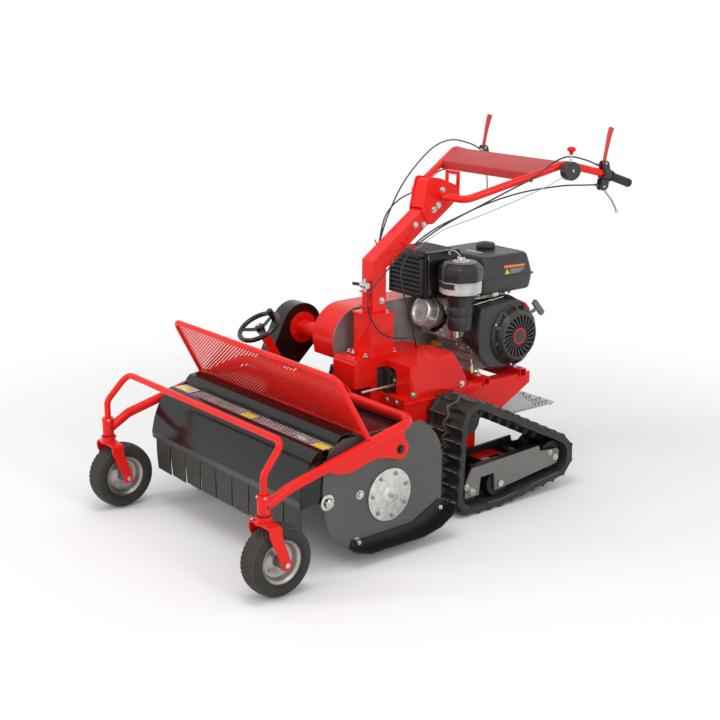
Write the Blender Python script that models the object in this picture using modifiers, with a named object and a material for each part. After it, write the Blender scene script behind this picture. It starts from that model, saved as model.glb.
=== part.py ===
"""Walk-behind hammer knife mower on two rubber tracks.

Metres, +Z up. X = 0 is the middle of the machine and +X its left side, -Y is the front with the deck and the
castor wheels, +Y the rear with the grips. The wheels stand on z = 0.
"""
import math

import bmesh
import bpy
from mathutils import Matrix, Vector

GAP = 0.0003                     # free space between two pieces that touch
SHEET = 0.003                    # wall of folded covers
PLATE = 0.006                    # wall of welded and bolted plates

# Castor wheels, forks and the tube frame that carries them
TYRE_RADIUS = 0.1145
TYRE_WIDTH = 0.085
RIM_RADIUS = 0.066
SWIVEL_Y = -0.845
CASTOR_TRAIL = 0.042
FORK_GAP = 0.010                 # between tyre and fork leg
FORK_LEG_WIDTH = 0.036
AXLE_RADIUS = 0.006
SOCKET_RADIUS = 0.020
CROWN_Z = TYRE_RADIUS * 2 + 0.014   # top of the fork's crown
SOCKET_BOTTOM = CROWN_Z + 0.023
SOCKET_TOP = SOCKET_BOTTOM + 0.066
STEM_RADIUS = 0.014
FRAME_TUBE = 0.0165
FRAME_REAR_Y = -0.265
FRAME_REAR_Z = 0.450
FRAME_PIVOT_Y = -0.308
FRAME_PIVOT_Z = 0.359
BUMPER_TUBE = 0.011
BUMPER_Y = -0.766
BUMPER_Z = SOCKET_BOTTOM + 0.212

# Slatted guard on the castor frame
GUARD_TUBE = 0.0095
GUARD_TOP_Y = -0.565
GUARD_TOP_Z = 0.636
GUARD_FOOT_Y = -0.455
GUARD_FOOT_Z = 0.437
GUARD_PANEL = 0.003
SLAT_PITCH = 0.054
SLAT_GAP = 0.024
SLAT_ANGLE = math.radians(33)

# Deck
DECK_HALF = 0.445                # outer face of the side plates
CASTOR_X = DECK_HALF + 0.027
FRAME_TUBE_X = DECK_HALF + 0.033
BUMPER_X = CASTOR_X - 0.010
GUARD_TOP_X = FRAME_TUBE_X - 0.012
ROTOR_Y = -0.337
ROTOR_Z = 0.206
ROTOR_TUBE = 0.052
KNIFE_RADIUS = 0.150
KNIFE_COUNT = 12
ROTOR_SHAFT = 0.0175
BEARING_COVER_RADIUS = 0.089
DECK_TOP_Z = 0.428
HOOD_FRONT_Y = -0.690
LIP_Z = 0.236
FLAP_COUNT = 9
FLAP_BOTTOM = 0.118
FLAP_THICKNESS = 0.005
FLAP_SLIT = 0.003
SKID_Z = 0.038

# Drive shaft, belt guard and belt cover
SHAFT_Y = -0.078
SHAFT_Z = 0.562
SHAFT_RADIUS = 0.0125
GUARD_BELT_RADIUS = 0.090
GUARD_BELT_FOOT_RADIUS = 0.052
DECK_PULLEY_RADIUS = 0.044
GUARD_BELT_OUTER_X = 0.008 - DECK_HALF
GUARD_BELT_INNER_X = GUARD_BELT_OUTER_X + 0.071
PARTITION_X = GUARD_BELT_INNER_X + 0.014     # inner wall of the belt chamber
COVER_Y = -0.020
COVER_Z = 0.560
COVER_RADIUS = 0.120
COVER_REAR_Y = 0.560
COVER_NEAR_X = -0.104
COVER_FAR_X = -0.222

# Chassis, gearbox, column
CHASSIS_HALF = 0.190
CHASSIS_TOP = 0.404
CHASSIS_BOTTOM = 0.270
CHASSIS_FRONT_Y = -0.055
CHASSIS_REAR_Y = 0.562
CHASSIS_REAR_Z = 0.362
DECK_REAR_Y = -0.1105
RAIL_SIZE = 0.030
RAIL_TOP = 0.421
RAIL_FRONT_Y = 0.335
RAIL_REAR_Y = 0.520
BOX_HALF = 0.060                 # gearbox housing
BOX_FRONT_Y = -0.170
BOX_REAR_Y = 0.163
BOX_NECK_Y = -0.096              # front of the part that goes down behind the deck
BOX_TOP = 0.535
COLUMN_Y = -0.036
COLUMN_HALF = 0.030
COLUMN_BASE_HALF = 0.050
COLUMN_BASE_TOP = 0.684
COLUMN_BEND_Z = 0.854
COLUMN_SLOPE = math.radians(35)
COLUMN_ARM = 0.290               # along the slope, from the bend to the handlebar's tilt bolt
COVER_SIDE_REAR_Y = 0.238

# Handlebar
HANDLE_TUBE = 0.0135
HANDLE_ELBOW = (0.140, 0.261, 1.065)
HANDLE_BEND = (0.285, 0.600, 1.179)
HANDLE_CLAMP = (0.311, 0.782, 1.133)
HANDLE_END = (0.316, 0.9078, 1.0898)
GRIP_RADIUS = 0.0165
GRIP_LENGTH = 0.112

# Tracks
TRACK_INNER_X = CHASSIS_HALF + 0.012
TRACK_OUTER_X = TRACK_INNER_X + 0.177
CARCASS = 0.012
LUG_HEIGHT = 0.020
LUG_COUNT = 25
TOOTH_HEIGHT = 0.022
TOOTH_HALF = 0.024
FRONT_IDLER = (0.112, 0.085, 0.065)     # y, z and the outer radius of the belt's carcass round the wheel
ROLLER = (0.250, 0.085, 0.065)
REAR_IDLER = (0.525, 0.125, 0.070)
SPROCKET = (0.125, 0.330, 0.065)
WHEEL_AXLE = 0.010

# Engine
CRANK_Y = 0.488
CRANK_Z = 0.552
RECOIL_X = 0.205
ENGINE_FACE_X = -0.098
SHROUD_X = 0.102
SHROUD_FACE_X = 0.168
TANK_NEAR_X = 0.145
TANK_FAR_X = -0.135
TANK_FRONT_Y = 0.352
TANK_REAR_Y = 0.618
TANK_BOTTOM = 0.706
TANK_SEAM = 0.764
TANK_TOP = 0.846
CAP_X = 0.0
CAP_Y = 0.500
AIR_X = 0.130
AIR_Y = 0.255
AIR_RADIUS = 0.085
AIR_BAND_Z = 0.738
AIR_LID_Z = 0.782
AIR_TOP_Z = 0.846

for old in list(bpy.data.objects):
    bpy.data.objects.remove(old)

parts = bpy.data.collections.new("hammer_knife_mower")
tools = bpy.data.collections.new("cutters")
bpy.context.scene.collection.children.link(parts)
bpy.context.scene.collection.children.link(tools)


def paint(name, colour, roughness, metallic=0.0):
    """Material of one piece."""
    material = bpy.data.materials.new(name)
    material.use_nodes = True
    shader = material.node_tree.nodes["Principled BSDF"]
    shader.inputs["Base Color"].default_value = (*colour, 1.0)
    shader.inputs["Roughness"].default_value = roughness
    shader.inputs["Metallic"].default_value = metallic
    return material


RED = ((0.62, 0.012, 0.010), 0.28, 0.0)
BLACK = ((0.016, 0.016, 0.016), 0.35, 0.0)
GREY_PLATE = ((0.055, 0.052, 0.048), 0.45, 0.0)
RUBBER = ((0.024, 0.023, 0.022), 0.80, 0.0)
ZINC = ((0.55, 0.56, 0.57), 0.35, 1.0)
STEEL = ((0.62, 0.62, 0.62), 0.25, 1.0)
CASTING = ((0.36, 0.33, 0.30), 0.50, 0.6)


def mesh_object(name, mesh):
    solid = bpy.data.objects.new(name, mesh)
    tools.objects.link(solid)
    return solid


def as_mesh(curve_object):
    """Turn a curve object into a mesh object with welded caps."""
    bpy.context.view_layer.update()
    depsgraph = bpy.context.evaluated_depsgraph_get()
    mesh = bpy.data.meshes.new_from_object(curve_object.evaluated_get(depsgraph))
    form = bmesh.new()
    form.from_mesh(mesh)
    bmesh.ops.remove_doubles(form, verts=form.verts, dist=1e-5)
    bmesh.ops.recalc_face_normals(form, faces=form.faces)
    form.to_mesh(mesh)
    form.free()
    solid = mesh_object(curve_object.name, mesh)
    solid.matrix_world = curve_object.matrix_world.copy()
    bpy.data.objects.remove(curve_object)
    return solid


def prisms(name, outlines, thickness, place):
    """One prism on each flat outline. place turns the sketch plane to where it lies."""
    form = bmesh.new()
    for outline in outlines:
        bottom = [form.verts.new((across, up, -thickness / 2)) for across, up in outline]
        top = [form.verts.new((across, up, thickness / 2)) for across, up in outline]
        form.faces.new(bottom[::-1])
        form.faces.new(top)
        for index in range(len(outline)):
            after = (index + 1) % len(outline)
            form.faces.new([bottom[index], bottom[after], top[after], top[index]])
    bmesh.ops.recalc_face_normals(form, faces=form.faces)
    bmesh.ops.transform(form, matrix=place, verts=form.verts)
    mesh = bpy.data.meshes.new(name)
    form.to_mesh(mesh)
    form.free()
    return mesh_object(name, mesh)


def flat(name, outlines, thickness, place):
    """Plate on the first outline, with a hole on each further one."""
    plate = prisms(name, outlines[:1], thickness, place)
    if len(outlines) > 1:
        boolean(plate, "DIFFERENCE", [prisms(name + "_holes", outlines[1:], thickness * 1.5, place)])
    return plate


SIDEWAYS = Matrix(((0, 0, 1), (1, 0, 0), (0, 1, 0))).to_4x4()      # sketch (y, z), thickness along X
UPRIGHT = Matrix(((1, 0, 0), (0, 0, -1), (0, 1, 0))).to_4x4()      # sketch (x, z), thickness along Y


def side_plate(name, outlines, x_low, x_high):
    """Plate that stands fore and aft, sketched in y and z."""
    place = Matrix.Translation(((x_low + x_high) / 2, 0, 0)) @ SIDEWAYS
    return flat(name, outlines, x_high - x_low, place)


def cross_plate(name, outlines, y_low, y_high):
    """Plate that stands across the machine, sketched in x and z."""
    place = Matrix.Translation((0, (y_low + y_high) / 2, 0)) @ UPRIGHT
    return flat(name, outlines, y_high - y_low, place)


def level_plate(name, outlines, z_low, z_high):
    """Plate that lies level, sketched in x and y."""
    return flat(name, outlines, z_high - z_low, Matrix.Translation((0, 0, (z_low + z_high) / 2)))


def box(name, low, high):
    """Block between two corners."""
    form = bmesh.new()
    bmesh.ops.create_cube(form, size=1.0)
    size = [top - bottom for bottom, top in zip(low, high)]
    middle = [(top + bottom) / 2 for bottom, top in zip(low, high)]
    bmesh.ops.scale(form, vec=size, verts=form.verts)
    bmesh.ops.translate(form, vec=middle, verts=form.verts)
    mesh = bpy.data.meshes.new(name)
    form.to_mesh(mesh)
    form.free()
    return mesh_object(name, mesh)


def rod(name, start, end, radius, sides=12, end_radius=None):
    """Round bar, or a cone, from start to end."""
    start = Vector(start)
    end = Vector(end)
    span = end - start
    form = bmesh.new()
    top_radius = radius if end_radius is None else end_radius
    bmesh.ops.create_cone(form, cap_ends=True, segments=sides, radius1=radius, radius2=top_radius,
                          depth=span.length)
    turn = Vector((0, 0, 1)).rotation_difference(span).to_matrix().to_4x4()
    bmesh.ops.transform(form, matrix=Matrix.Translation((start + end) / 2) @ turn, verts=form.verts)
    mesh = bpy.data.meshes.new(name)
    form.to_mesh(mesh)
    form.free()
    return mesh_object(name, mesh)


def turned(name, profile, axis_point, axis, steps=24):
    """Turned piece. The profile is (radius, height) pairs, closed on itself or between two axis points."""
    mesh = bpy.data.meshes.new(name)
    edges = [(i, i + 1) for i in range(len(profile) - 1)]
    if profile[0][0] > 0:
        edges.append((len(profile) - 1, 0))
    mesh.from_pydata([(radius, 0, height) for radius, height in profile], edges, [])
    solid = mesh_object(name, mesh)
    screw = solid.modifiers.new("turning", "SCREW")
    screw.steps = steps
    screw.render_steps = steps
    screw.use_merge_vertices = True
    screw.merge_threshold = 0.00001
    solid.rotation_mode = "QUATERNION"
    solid.rotation_quaternion = Vector((0, 0, 1)).rotation_difference(Vector(axis))
    solid.location = axis_point
    return solid


def tube(name, points, radius, resolution=2):
    """Round tube along points, with flat caps."""
    curve = bpy.data.curves.new(name, "CURVE")
    curve.dimensions = "3D"
    curve.bevel_depth = radius
    curve.bevel_resolution = resolution
    curve.use_fill_caps = True
    spline = curve.splines.new("POLY")
    spline.points.add(len(points) - 1)
    for point, place in zip(spline.points, points):
        point.co = (*place, 1.0)
    run = bpy.data.objects.new(name, curve)
    tools.objects.link(run)
    return run


def bent(corners, radius, steps=3):
    """Points along straight runs with each corner rounded to a bend."""
    corners = [Vector(corner) for corner in corners]
    points = [corners[0]]
    for before, corner, after in zip(corners, corners[1:], corners[2:]):
        back = (before - corner).normalized()
        ahead = (after - corner).normalized()
        half = back.angle(ahead) / 2
        reach = min(radius / math.tan(half), (before - corner).length * 0.49, (after - corner).length * 0.49)
        start = corner + back * reach
        end = corner + ahead * reach
        for step in range(steps + 1):
            share = step / steps
            points.append(start.lerp(corner, share).lerp(corner.lerp(end, share), share))
    points.append(corners[-1])
    return points


def arc(centre, radius, first, last, steps):
    """Points on a circle from one angle to another, in degrees."""
    return [(centre[0] + radius * math.cos(math.radians(first + (last - first) * step / steps)),
             centre[1] + radius * math.sin(math.radians(first + (last - first) * step / steps)))
            for step in range(steps + 1)]


def wrap(circles, extra=0.0, steps=8):
    """Outline of a belt that runs counter-clockwise round circles given as (y, z, radius)."""
    normals = []
    for here, there in zip(circles, circles[1:] + circles[:1]):
        across = Vector(there[:2]) - Vector(here[:2])
        lean = (here[2] - there[2]) / across.length
        along = across.normalized()
        right = Vector((along.y, -along.x))
        normals.append(along * lean + right * math.sqrt(1 - lean * lean))
    outline = []
    for index, (y, z, radius) in enumerate(circles):
        first = math.atan2(normals[index - 1].y, normals[index - 1].x)
        last = math.atan2(normals[index].y, normals[index].x)
        turn = (last - first) % (2 * math.pi)
        count = max(1, round(steps * turn / math.pi))
        for step in range(count + 1):
            angle = first + turn * step / count
            outline.append((y + (radius + extra) * math.cos(angle), z + (radius + extra) * math.sin(angle)))
    return outline


def sheet(points, thickness):
    """Outline of a folded sheet whose middle runs through points."""
    points = [Vector(point) for point in points]
    left = []
    right = []
    for index, point in enumerate(points):
        before = points[max(index - 1, 0)]
        after = points[min(index + 1, len(points) - 1)]
        first = (point - before).normalized() if index else (after - point).normalized()
        second = (after - point).normalized() if index < len(points) - 1 else first
        bisector = (first + second).normalized()
        side = Vector((-bisector.y, bisector.x))
        reach = thickness / 2 / max(side.dot(Vector((-first.y, first.x))), 0.3)
        left.append(tuple(point + side * reach))
        right.append(tuple(point - side * reach))
    return left + right[::-1]


def rectangle(x_low, x_high, y_low, y_high):
    return [(x_low, y_low), (x_high, y_low), (x_high, y_high), (x_low, y_high)]


def boolean(base, operation, others):
    for other in others:
        if other.type == "CURVE":
            other = as_mesh(other)
        step = base.modifiers.new(other.name, "BOOLEAN")
        step.operation = operation
        step.solver = "EXACT"
        step.object = other
        other.hide_render = True
        other.display_type = "WIRE"
    return base


def weld(base, *others):
    if base.type == "CURVE":
        base = as_mesh(base)
    return boolean(base, "UNION", others)


def cut(base, *cutters):
    if base.type == "CURVE":
        base = as_mesh(base)
    return boolean(base, "DIFFERENCE", cutters)


def keep(solid, name, finish, pivot=None):
    """Make a finished solid a part of the machine."""
    solid.name = name
    solid.data.name = name
    solid.data.materials.clear()
    solid.data.materials.append(paint(name, *finish))
    tools.objects.unlink(solid)
    parts.objects.link(solid)
    if solid.type == "MESH":
        solid.data.shade_smooth()
        solid.data.set_sharp_from_angle(angle=math.radians(35))
    if pivot is not None:
        bpy.context.view_layer.update()
        solid.parent = pivot
        solid.matrix_parent_inverse = pivot.matrix_world.inverted()
    return solid


def axis_point(name, place, parent=None):
    """Empty on a joint's axis."""
    empty = bpy.data.objects.new(name, None)
    empty.empty_display_size = 0.03
    parts.objects.link(empty)
    empty.location = place
    bpy.context.view_layer.update()
    if parent is not None:
        empty.parent = parent
        empty.matrix_parent_inverse = parent.matrix_world.inverted()
    bpy.context.view_layer.update()
    return empty


def hexagon(name, start, end, radius):
    """Hexagon bolt head or nut."""
    return rod(name, start, end, radius, sides=6)


SIDES = (("left", 1), ("right", -1))


# Castor wheels and forks

WHEEL_Y = SWIVEL_Y + CASTOR_TRAIL
LEG_INNER = TYRE_WIDTH / 2 + FORK_GAP


def castor_tyre(side, sign, pivot):
    half = TYRE_WIDTH / 2
    profile = [(RIM_RADIUS + 0.003, half * 0.62), (TYRE_RADIUS * 0.80, half * 0.98),
               (TYRE_RADIUS * 0.92, half * 0.86),
               (TYRE_RADIUS, half * 0.55), (TYRE_RADIUS, -half * 0.55), (TYRE_RADIUS * 0.92, -half * 0.86),
               (TYRE_RADIUS * 0.80, -half * 0.98), (RIM_RADIUS + 0.003, -half * 0.62)]
    tyre = turned("tyre", profile, (sign * CASTOR_X, WHEEL_Y, TYRE_RADIUS), (1, 0, 0), 20)
    keep(tyre, "castor_tyre_" + side, RUBBER, pivot)


def castor_rim(side, sign, pivot):
    half = TYRE_WIDTH / 2
    edge = RIM_RADIUS + 0.003 - GAP
    hub_half = half + FORK_GAP - 0.001
    profile = [(0.018, hub_half), (0.018, 0.014), (0.050, 0.010), (0.056, half * 0.60), (edge, half * 0.60),
               (edge, -half * 0.60), (0.056, -half * 0.60), (0.050, -0.010), (0.018, -0.014),
               (0.018, -hub_half),
               (AXLE_RADIUS + GAP, -hub_half), (AXLE_RADIUS + GAP, hub_half)]
    rim = turned("rim", profile, (sign * CASTOR_X, WHEEL_Y, TYRE_RADIUS), (1, 0, 0), 20)
    keep(rim, "castor_rim_" + side, STEEL, pivot)


def castor_fork(side, sign, pivot):
    middle = sign * CASTOR_X
    crown = CROWN_Z
    leg = wrap([(WHEEL_Y, TYRE_RADIUS, FORK_LEG_WIDTH / 2),
                (SWIVEL_Y + 0.004, crown - 0.020, FORK_LEG_WIDTH / 2)], steps=6)
    outer = LEG_INNER + PLATE
    legs = [side_plate("leg", [leg], middle + lean * LEG_INNER - (PLATE if lean < 0 else 0),
                       middle + lean * LEG_INNER + (PLATE if lean > 0 else 0)) for lean in (1, -1)]
    top = box("crown", (middle - outer, SWIVEL_Y - 0.020, crown - 0.007),
              (middle + outer, SWIVEL_Y + 0.020, crown))
    collar = rod("collar", (middle, SWIVEL_Y, crown - 0.003), (middle, SWIVEL_Y, SOCKET_BOTTOM - GAP), 0.026,
                 16)
    stem = rod("stem", (middle, SWIVEL_Y, crown), (middle, SWIVEL_Y, SOCKET_BOTTOM + 0.030), STEM_RADIUS, 16)
    axle = rod("axle", (middle - outer - 0.003, WHEEL_Y, TYRE_RADIUS),
               (middle + outer + 0.003, WHEEL_Y, TYRE_RADIUS),
               AXLE_RADIUS)
    heads = [hexagon("bolt", (middle + lean * (outer - 0.001), WHEEL_Y, TYRE_RADIUS),
                     (middle + lean * (outer + 0.007), WHEEL_Y, TYRE_RADIUS), 0.010) for lean in (1, -1)]
    keep(weld(top, *legs, collar, stem, axle, *heads), "castor_fork_" + side, RED, pivot)


def castor_frame(pivot):
    """Tube frame with sockets, gussets and the arched plate on its rear cross tube."""
    start_z = (SOCKET_TOP + SOCKET_BOTTOM) / 2 - 0.004
    half = [(CASTOR_X, SWIVEL_Y + SOCKET_RADIUS * 0.8, start_z), (FRAME_TUBE_X, SWIVEL_Y + 0.085, SOCKET_TOP),
            (FRAME_TUBE_X, GUARD_FOOT_Y, 0.406), (FRAME_TUBE_X, FRAME_REAR_Y, FRAME_REAR_Z)]
    path = bent(half + [(-x, y, z) for x, y, z in half[::-1]], 0.055, 3)
    frame = as_mesh(tube("frame", path, FRAME_TUBE, 2))
    additions = []
    bore_top = BUMPER_TUBE + GAP
    bore = STEM_RADIUS + GAP
    shelf = SOCKET_BOTTOM + 0.031
    for side, sign in SIDES:
        additions.append(rod("socket", (sign * CASTOR_X, SWIVEL_Y, SOCKET_BOTTOM),
                             (sign * CASTOR_X, SWIVEL_Y, SOCKET_TOP),
                             SOCKET_RADIUS, 16))
        eye = arc((FRAME_PIVOT_Y, FRAME_PIVOT_Z), 0.034, -120, 60, 8)
        gusset = [(-0.610, 0.352), (-0.560, 0.330), (-0.500, 0.326), (-0.440, 0.340), (-0.380, 0.346)] + eye
        gusset += [(-0.290, 0.435), (-0.455, 0.402)]
        inner = FRAME_TUBE_X - FRAME_TUBE + 0.001
        low, high = sorted((sign * inner, sign * (inner + PLATE)))
        additions.append(side_plate("gusset", [gusset], low, high))
        additions.append(rod("pivot", (sign * (DECK_HALF - PLATE - 0.004), FRAME_PIVOT_Y, FRAME_PIVOT_Z),
                             (sign * (inner + 0.012), FRAME_PIVOT_Y, FRAME_PIVOT_Z), 0.009))
    arch = [(-0.20, FRAME_REAR_Z)] + [(0.17 * math.cos(a), FRAME_REAR_Z + 0.055 * math.sin(a))
                                      for a in [math.pi - math.pi * step / 8 for step in range(1, 8)]]
    arch.append((0.20, FRAME_REAR_Z))
    additions.append(cross_plate("arch", [arch], FRAME_REAR_Y - 0.0025, FRAME_REAR_Y + 0.0025))
    bores = []
    for side, sign in SIDES:
        bores.append(rod("bore", (sign * CASTOR_X, SWIVEL_Y, shelf),
                         (sign * CASTOR_X, SWIVEL_Y, SOCKET_TOP + 0.02), bore_top, 16))
        bores.append(rod("bore", (sign * CASTOR_X, SWIVEL_Y, SOCKET_BOTTOM - 0.02),
                         (sign * CASTOR_X, SWIVEL_Y, shelf + 0.001),
                         bore, 16))
    keep(cut(weld(frame, *additions), *bores), "castor_frame", RED, pivot)


def bumper_bar(pivot):
    half = [(CASTOR_X, SWIVEL_Y, SOCKET_BOTTOM + 0.034), (CASTOR_X, SWIVEL_Y, SOCKET_TOP + 0.060),
            (BUMPER_X, BUMPER_Y, BUMPER_Z)]
    path = bent(half + [(-x, y, z) for x, y, z in half[::-1]], 0.040, 3)
    keep(as_mesh(tube("bumper", path, BUMPER_TUBE, 2)), "bumper_bar", RED, pivot)


def clip(outline, limit, keep_left):
    """Part of an outline on one side of an upright line."""
    kept = []
    for first, second in zip(outline, outline[1:] + outline[:1]):
        first_in = first[0] <= limit if keep_left else first[0] >= limit
        second_in = second[0] <= limit if keep_left else second[0] >= limit
        if first_in:
            kept.append(first)
        if first_in != second_in:
            share = (limit - first[0]) / (second[0] - first[0])
            kept.append((limit, first[1] + (second[1] - first[1]) * share))
    return kept


def debris_guard(pivot):
    """Slatted panel in a tube frame, leaning forward."""
    foot = Vector((0, GUARD_FOOT_Y, GUARD_FOOT_Z))
    top = Vector((0, GUARD_TOP_Y, GUARD_TOP_Z))
    height = (top - foot).length
    rise = (top - foot).normalized()
    place = Matrix.Translation(foot) @ Matrix((Vector((1, 0, 0)), rise,
                                               Vector((1, 0, 0)).cross(rise))).transposed().to_4x4()
    half = [(FRAME_TUBE_X, GUARD_FOOT_Y + 0.006, GUARD_FOOT_Z - 0.030), (FRAME_TUBE_X - 0.002, *foot.yz),
            (GUARD_TOP_X, *top.yz)]
    hoop = as_mesh(tube("hoop", bent(half + [(-x, y, z) for x, y, z in half[::-1]], 0.030, 2), GUARD_TUBE, 2))
    bar = as_mesh(tube("bar", [(-FRAME_TUBE_X, *foot.yz), (FRAME_TUBE_X, *foot.yz)], GUARD_TUBE * 0.7, 2))
    edge = FRAME_TUBE_X - 0.006
    slots = []
    low = GUARD_TUBE * 0.7 + 0.002
    high = height - GUARD_TUBE - 0.002
    slope = (high - low) / math.tan(SLAT_ANGLE)
    inside = GUARD_TOP_X - GUARD_TUBE - 0.006
    count = int((2 * inside + slope) / SLAT_PITCH)
    for index in range(count):
        start = -inside - slope + index * SLAT_PITCH + 0.004
        slot = [(start, low), (start + SLAT_GAP, low), (start + SLAT_GAP + slope, high),
                (start + slope, high)]
        slot = clip(clip(slot, inside, True), -inside, False)
        if len(slot) > 2 and max(p[0] for p in slot) - min(p[0] for p in slot) > 0.02:
            slots.append(slot)
    panel = flat("panel", [[(-edge, 0), (edge, 0), (GUARD_TOP_X, height), (-GUARD_TOP_X, height)]],
                 GUARD_PANEL, place)
    openings = prisms("openings", slots, GUARD_PANEL * 4, place)
    half_path = [(FRAME_TUBE_X, SWIVEL_Y + 0.085, SOCKET_TOP), (FRAME_TUBE_X, GUARD_FOOT_Y, 0.406),
                 (FRAME_TUBE_X, FRAME_REAR_Y, FRAME_REAR_Z)]
    seats = [tube("seat", [(sign * x, y, z) for x, y, z in half_path], FRAME_TUBE + GAP * 3, 2) for side,
             sign in SIDES]
    keep(cut(weld(hoop, bar, cut(panel, openings)), *seats), "debris_guard", RED, pivot)


frame_axis = axis_point("castor_frame_axis", (0, FRAME_PIVOT_Y, FRAME_PIVOT_Z))
castor_frame(frame_axis)
bumper_bar(frame_axis)
debris_guard(frame_axis)
for side, sign in SIDES:
    swivel = axis_point("castor_swivel_" + side, (sign * CASTOR_X, SWIVEL_Y, SOCKET_BOTTOM), frame_axis)
    castor_fork(side, sign, swivel)
    wheel_axis = axis_point("castor_axle_" + side, (sign * CASTOR_X, WHEEL_Y, TYRE_RADIUS), swivel)
    castor_tyre(side, sign, wheel_axis)
    castor_rim(side, sign, wheel_axis)


# Deck

DECK_INNER = DECK_HALF - PLATE
SIDE_TOP = DECK_TOP_Z + 0.0015
SIDE_OUTLINE = [(-0.604, 0.272), (-0.598, 0.205), (-0.583, 0.144), (-0.556, 0.102), (-0.515, 0.069),
                (-0.454, 0.048),
                (-0.211, 0.048), (-0.140, 0.066), (-0.108, 0.095), (-0.107, 0.297), (-0.116, 0.335),
                (-0.135, 0.370),
                (-0.165, 0.404), (-0.200, 0.428), (-0.240, SIDE_TOP), (-0.520, SIDE_TOP), (-0.575, 0.400),
                (-0.598, 0.340)]


def deck_side(side, sign):
    """Side plate with its skid shoe and bolts, bored for the rotor shaft and the frame pivot."""
    low, high = sorted((sign * DECK_INNER, sign * DECK_HALF))
    holes = [arc((ROTOR_Y, ROTOR_Z), ROTOR_SHAFT + 0.006, 0, 345, 23),
             arc((FRAME_PIVOT_Y, FRAME_PIVOT_Z), 0.009 + GAP, 0, 337.5, 15)]
    plate = side_plate("side", [SIDE_OUTLINE] + holes, low, high)
    run = [(-0.500, 0.058), (-0.440, SKID_Z + 0.002), (-0.215, SKID_Z + 0.002), (-0.140, 0.056),
           (-0.090, 0.084),
           (-0.074, 0.110)]
    shoe = side_plate("shoe", [sheet(run, 0.004)],
                      *sorted((sign * (DECK_INNER + 0.001), sign * (DECK_HALF + 0.040))))
    wall = [(-0.500, 0.060), (-0.440, SKID_Z + 0.002), (-0.215, SKID_Z + 0.002), (-0.140, 0.056),
            (-0.090, 0.084),
            (-0.078, 0.110), (-0.120, 0.140), (-0.235, 0.085), (-0.420, 0.080), (-0.490, 0.086)]
    upright = side_plate("upright", [wall],
                         *sorted((sign * (DECK_INNER + 0.0005), sign * (DECK_HALF + 0.005))))
    bolts = [hexagon("bolt", (sign * (DECK_HALF - 0.002), y, z), (sign * (DECK_HALF + height), y, z), size)
             for y, z, size, height in ((-0.455, 0.231, 0.010, 0.006), (-0.585, 0.235, 0.017, 0.014),
                                        (-0.468, 0.076, 0.009, 0.013), (-0.120, 0.112, 0.009, 0.013))]
    keep(weld(plate, upright, shoe, *bolts), "deck_side_" + side, GREY_PLATE)


HOOD_PROFILE = [(-0.600, 0.409), (-0.618, 0.402), (-0.640, 0.380), (-0.662, 0.345), (-0.678, 0.305),
                (-0.687, 0.268),
                (HOOD_FRONT_Y, LIP_Z + 0.001)]


def deck_hood():
    """Curved front sheet with a cheek at each end."""
    half = DECK_INNER - GAP
    skin = side_plate("hood", [sheet(HOOD_PROFILE, SHEET)], -half, half)
    cheek = HOOD_PROFILE + [(-0.590, LIP_Z + 0.001), (-0.590, 0.300)]
    cheeks = [side_plate("cheek", [cheek], *sorted((sign * half, sign * (half - SHEET)))) for side,
              sign in SIDES]
    lip = box("lip", (-half, HOOD_FRONT_Y - 0.0015, LIP_Z), (half, HOOD_FRONT_Y + 0.022, LIP_Z + SHEET))
    keep(weld(skin, lip, *cheeks), "deck_hood", BLACK)


def flap_strip():
    """Rubber flaps under the hood's lip, cut from one strip."""
    half = DECK_INNER - 0.004
    width = 2 * half / FLAP_COUNT
    root = LIP_Z - 0.016
    outline = [(-half, LIP_Z - GAP)]
    for index in range(FLAP_COUNT):
        left = -half + index * width
        outline += [(left + FLAP_SLIT / 2, root)] if index else []
        outline += [(left + FLAP_SLIT / 2, FLAP_BOTTOM), (left + width - FLAP_SLIT / 2, FLAP_BOTTOM)]
        outline += [(left + width - FLAP_SLIT / 2, root)] if index < FLAP_COUNT - 1 else []
    outline.append((half, LIP_Z - GAP))
    y = HOOD_FRONT_Y + 0.012
    keep(cross_plate("flaps", [outline], y, y + FLAP_THICKNESS), "flap_strip", RUBBER)


BEAM_FRONT_Y = -0.545
GRILLE_PITCH = 0.030
TOP_PROFILE = [(BEAM_FRONT_Y, 0.402), (-0.541, 0.426), (-0.527, 0.440), (-0.486, 0.444), (-0.472, 0.424),
               (-0.240, DECK_TOP_Z), (-0.196, 0.419), (-0.160, 0.395), (-0.131, 0.362), (-0.116, 0.330),
               (-0.112, 0.290), (-0.112, 0.150)]


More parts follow.
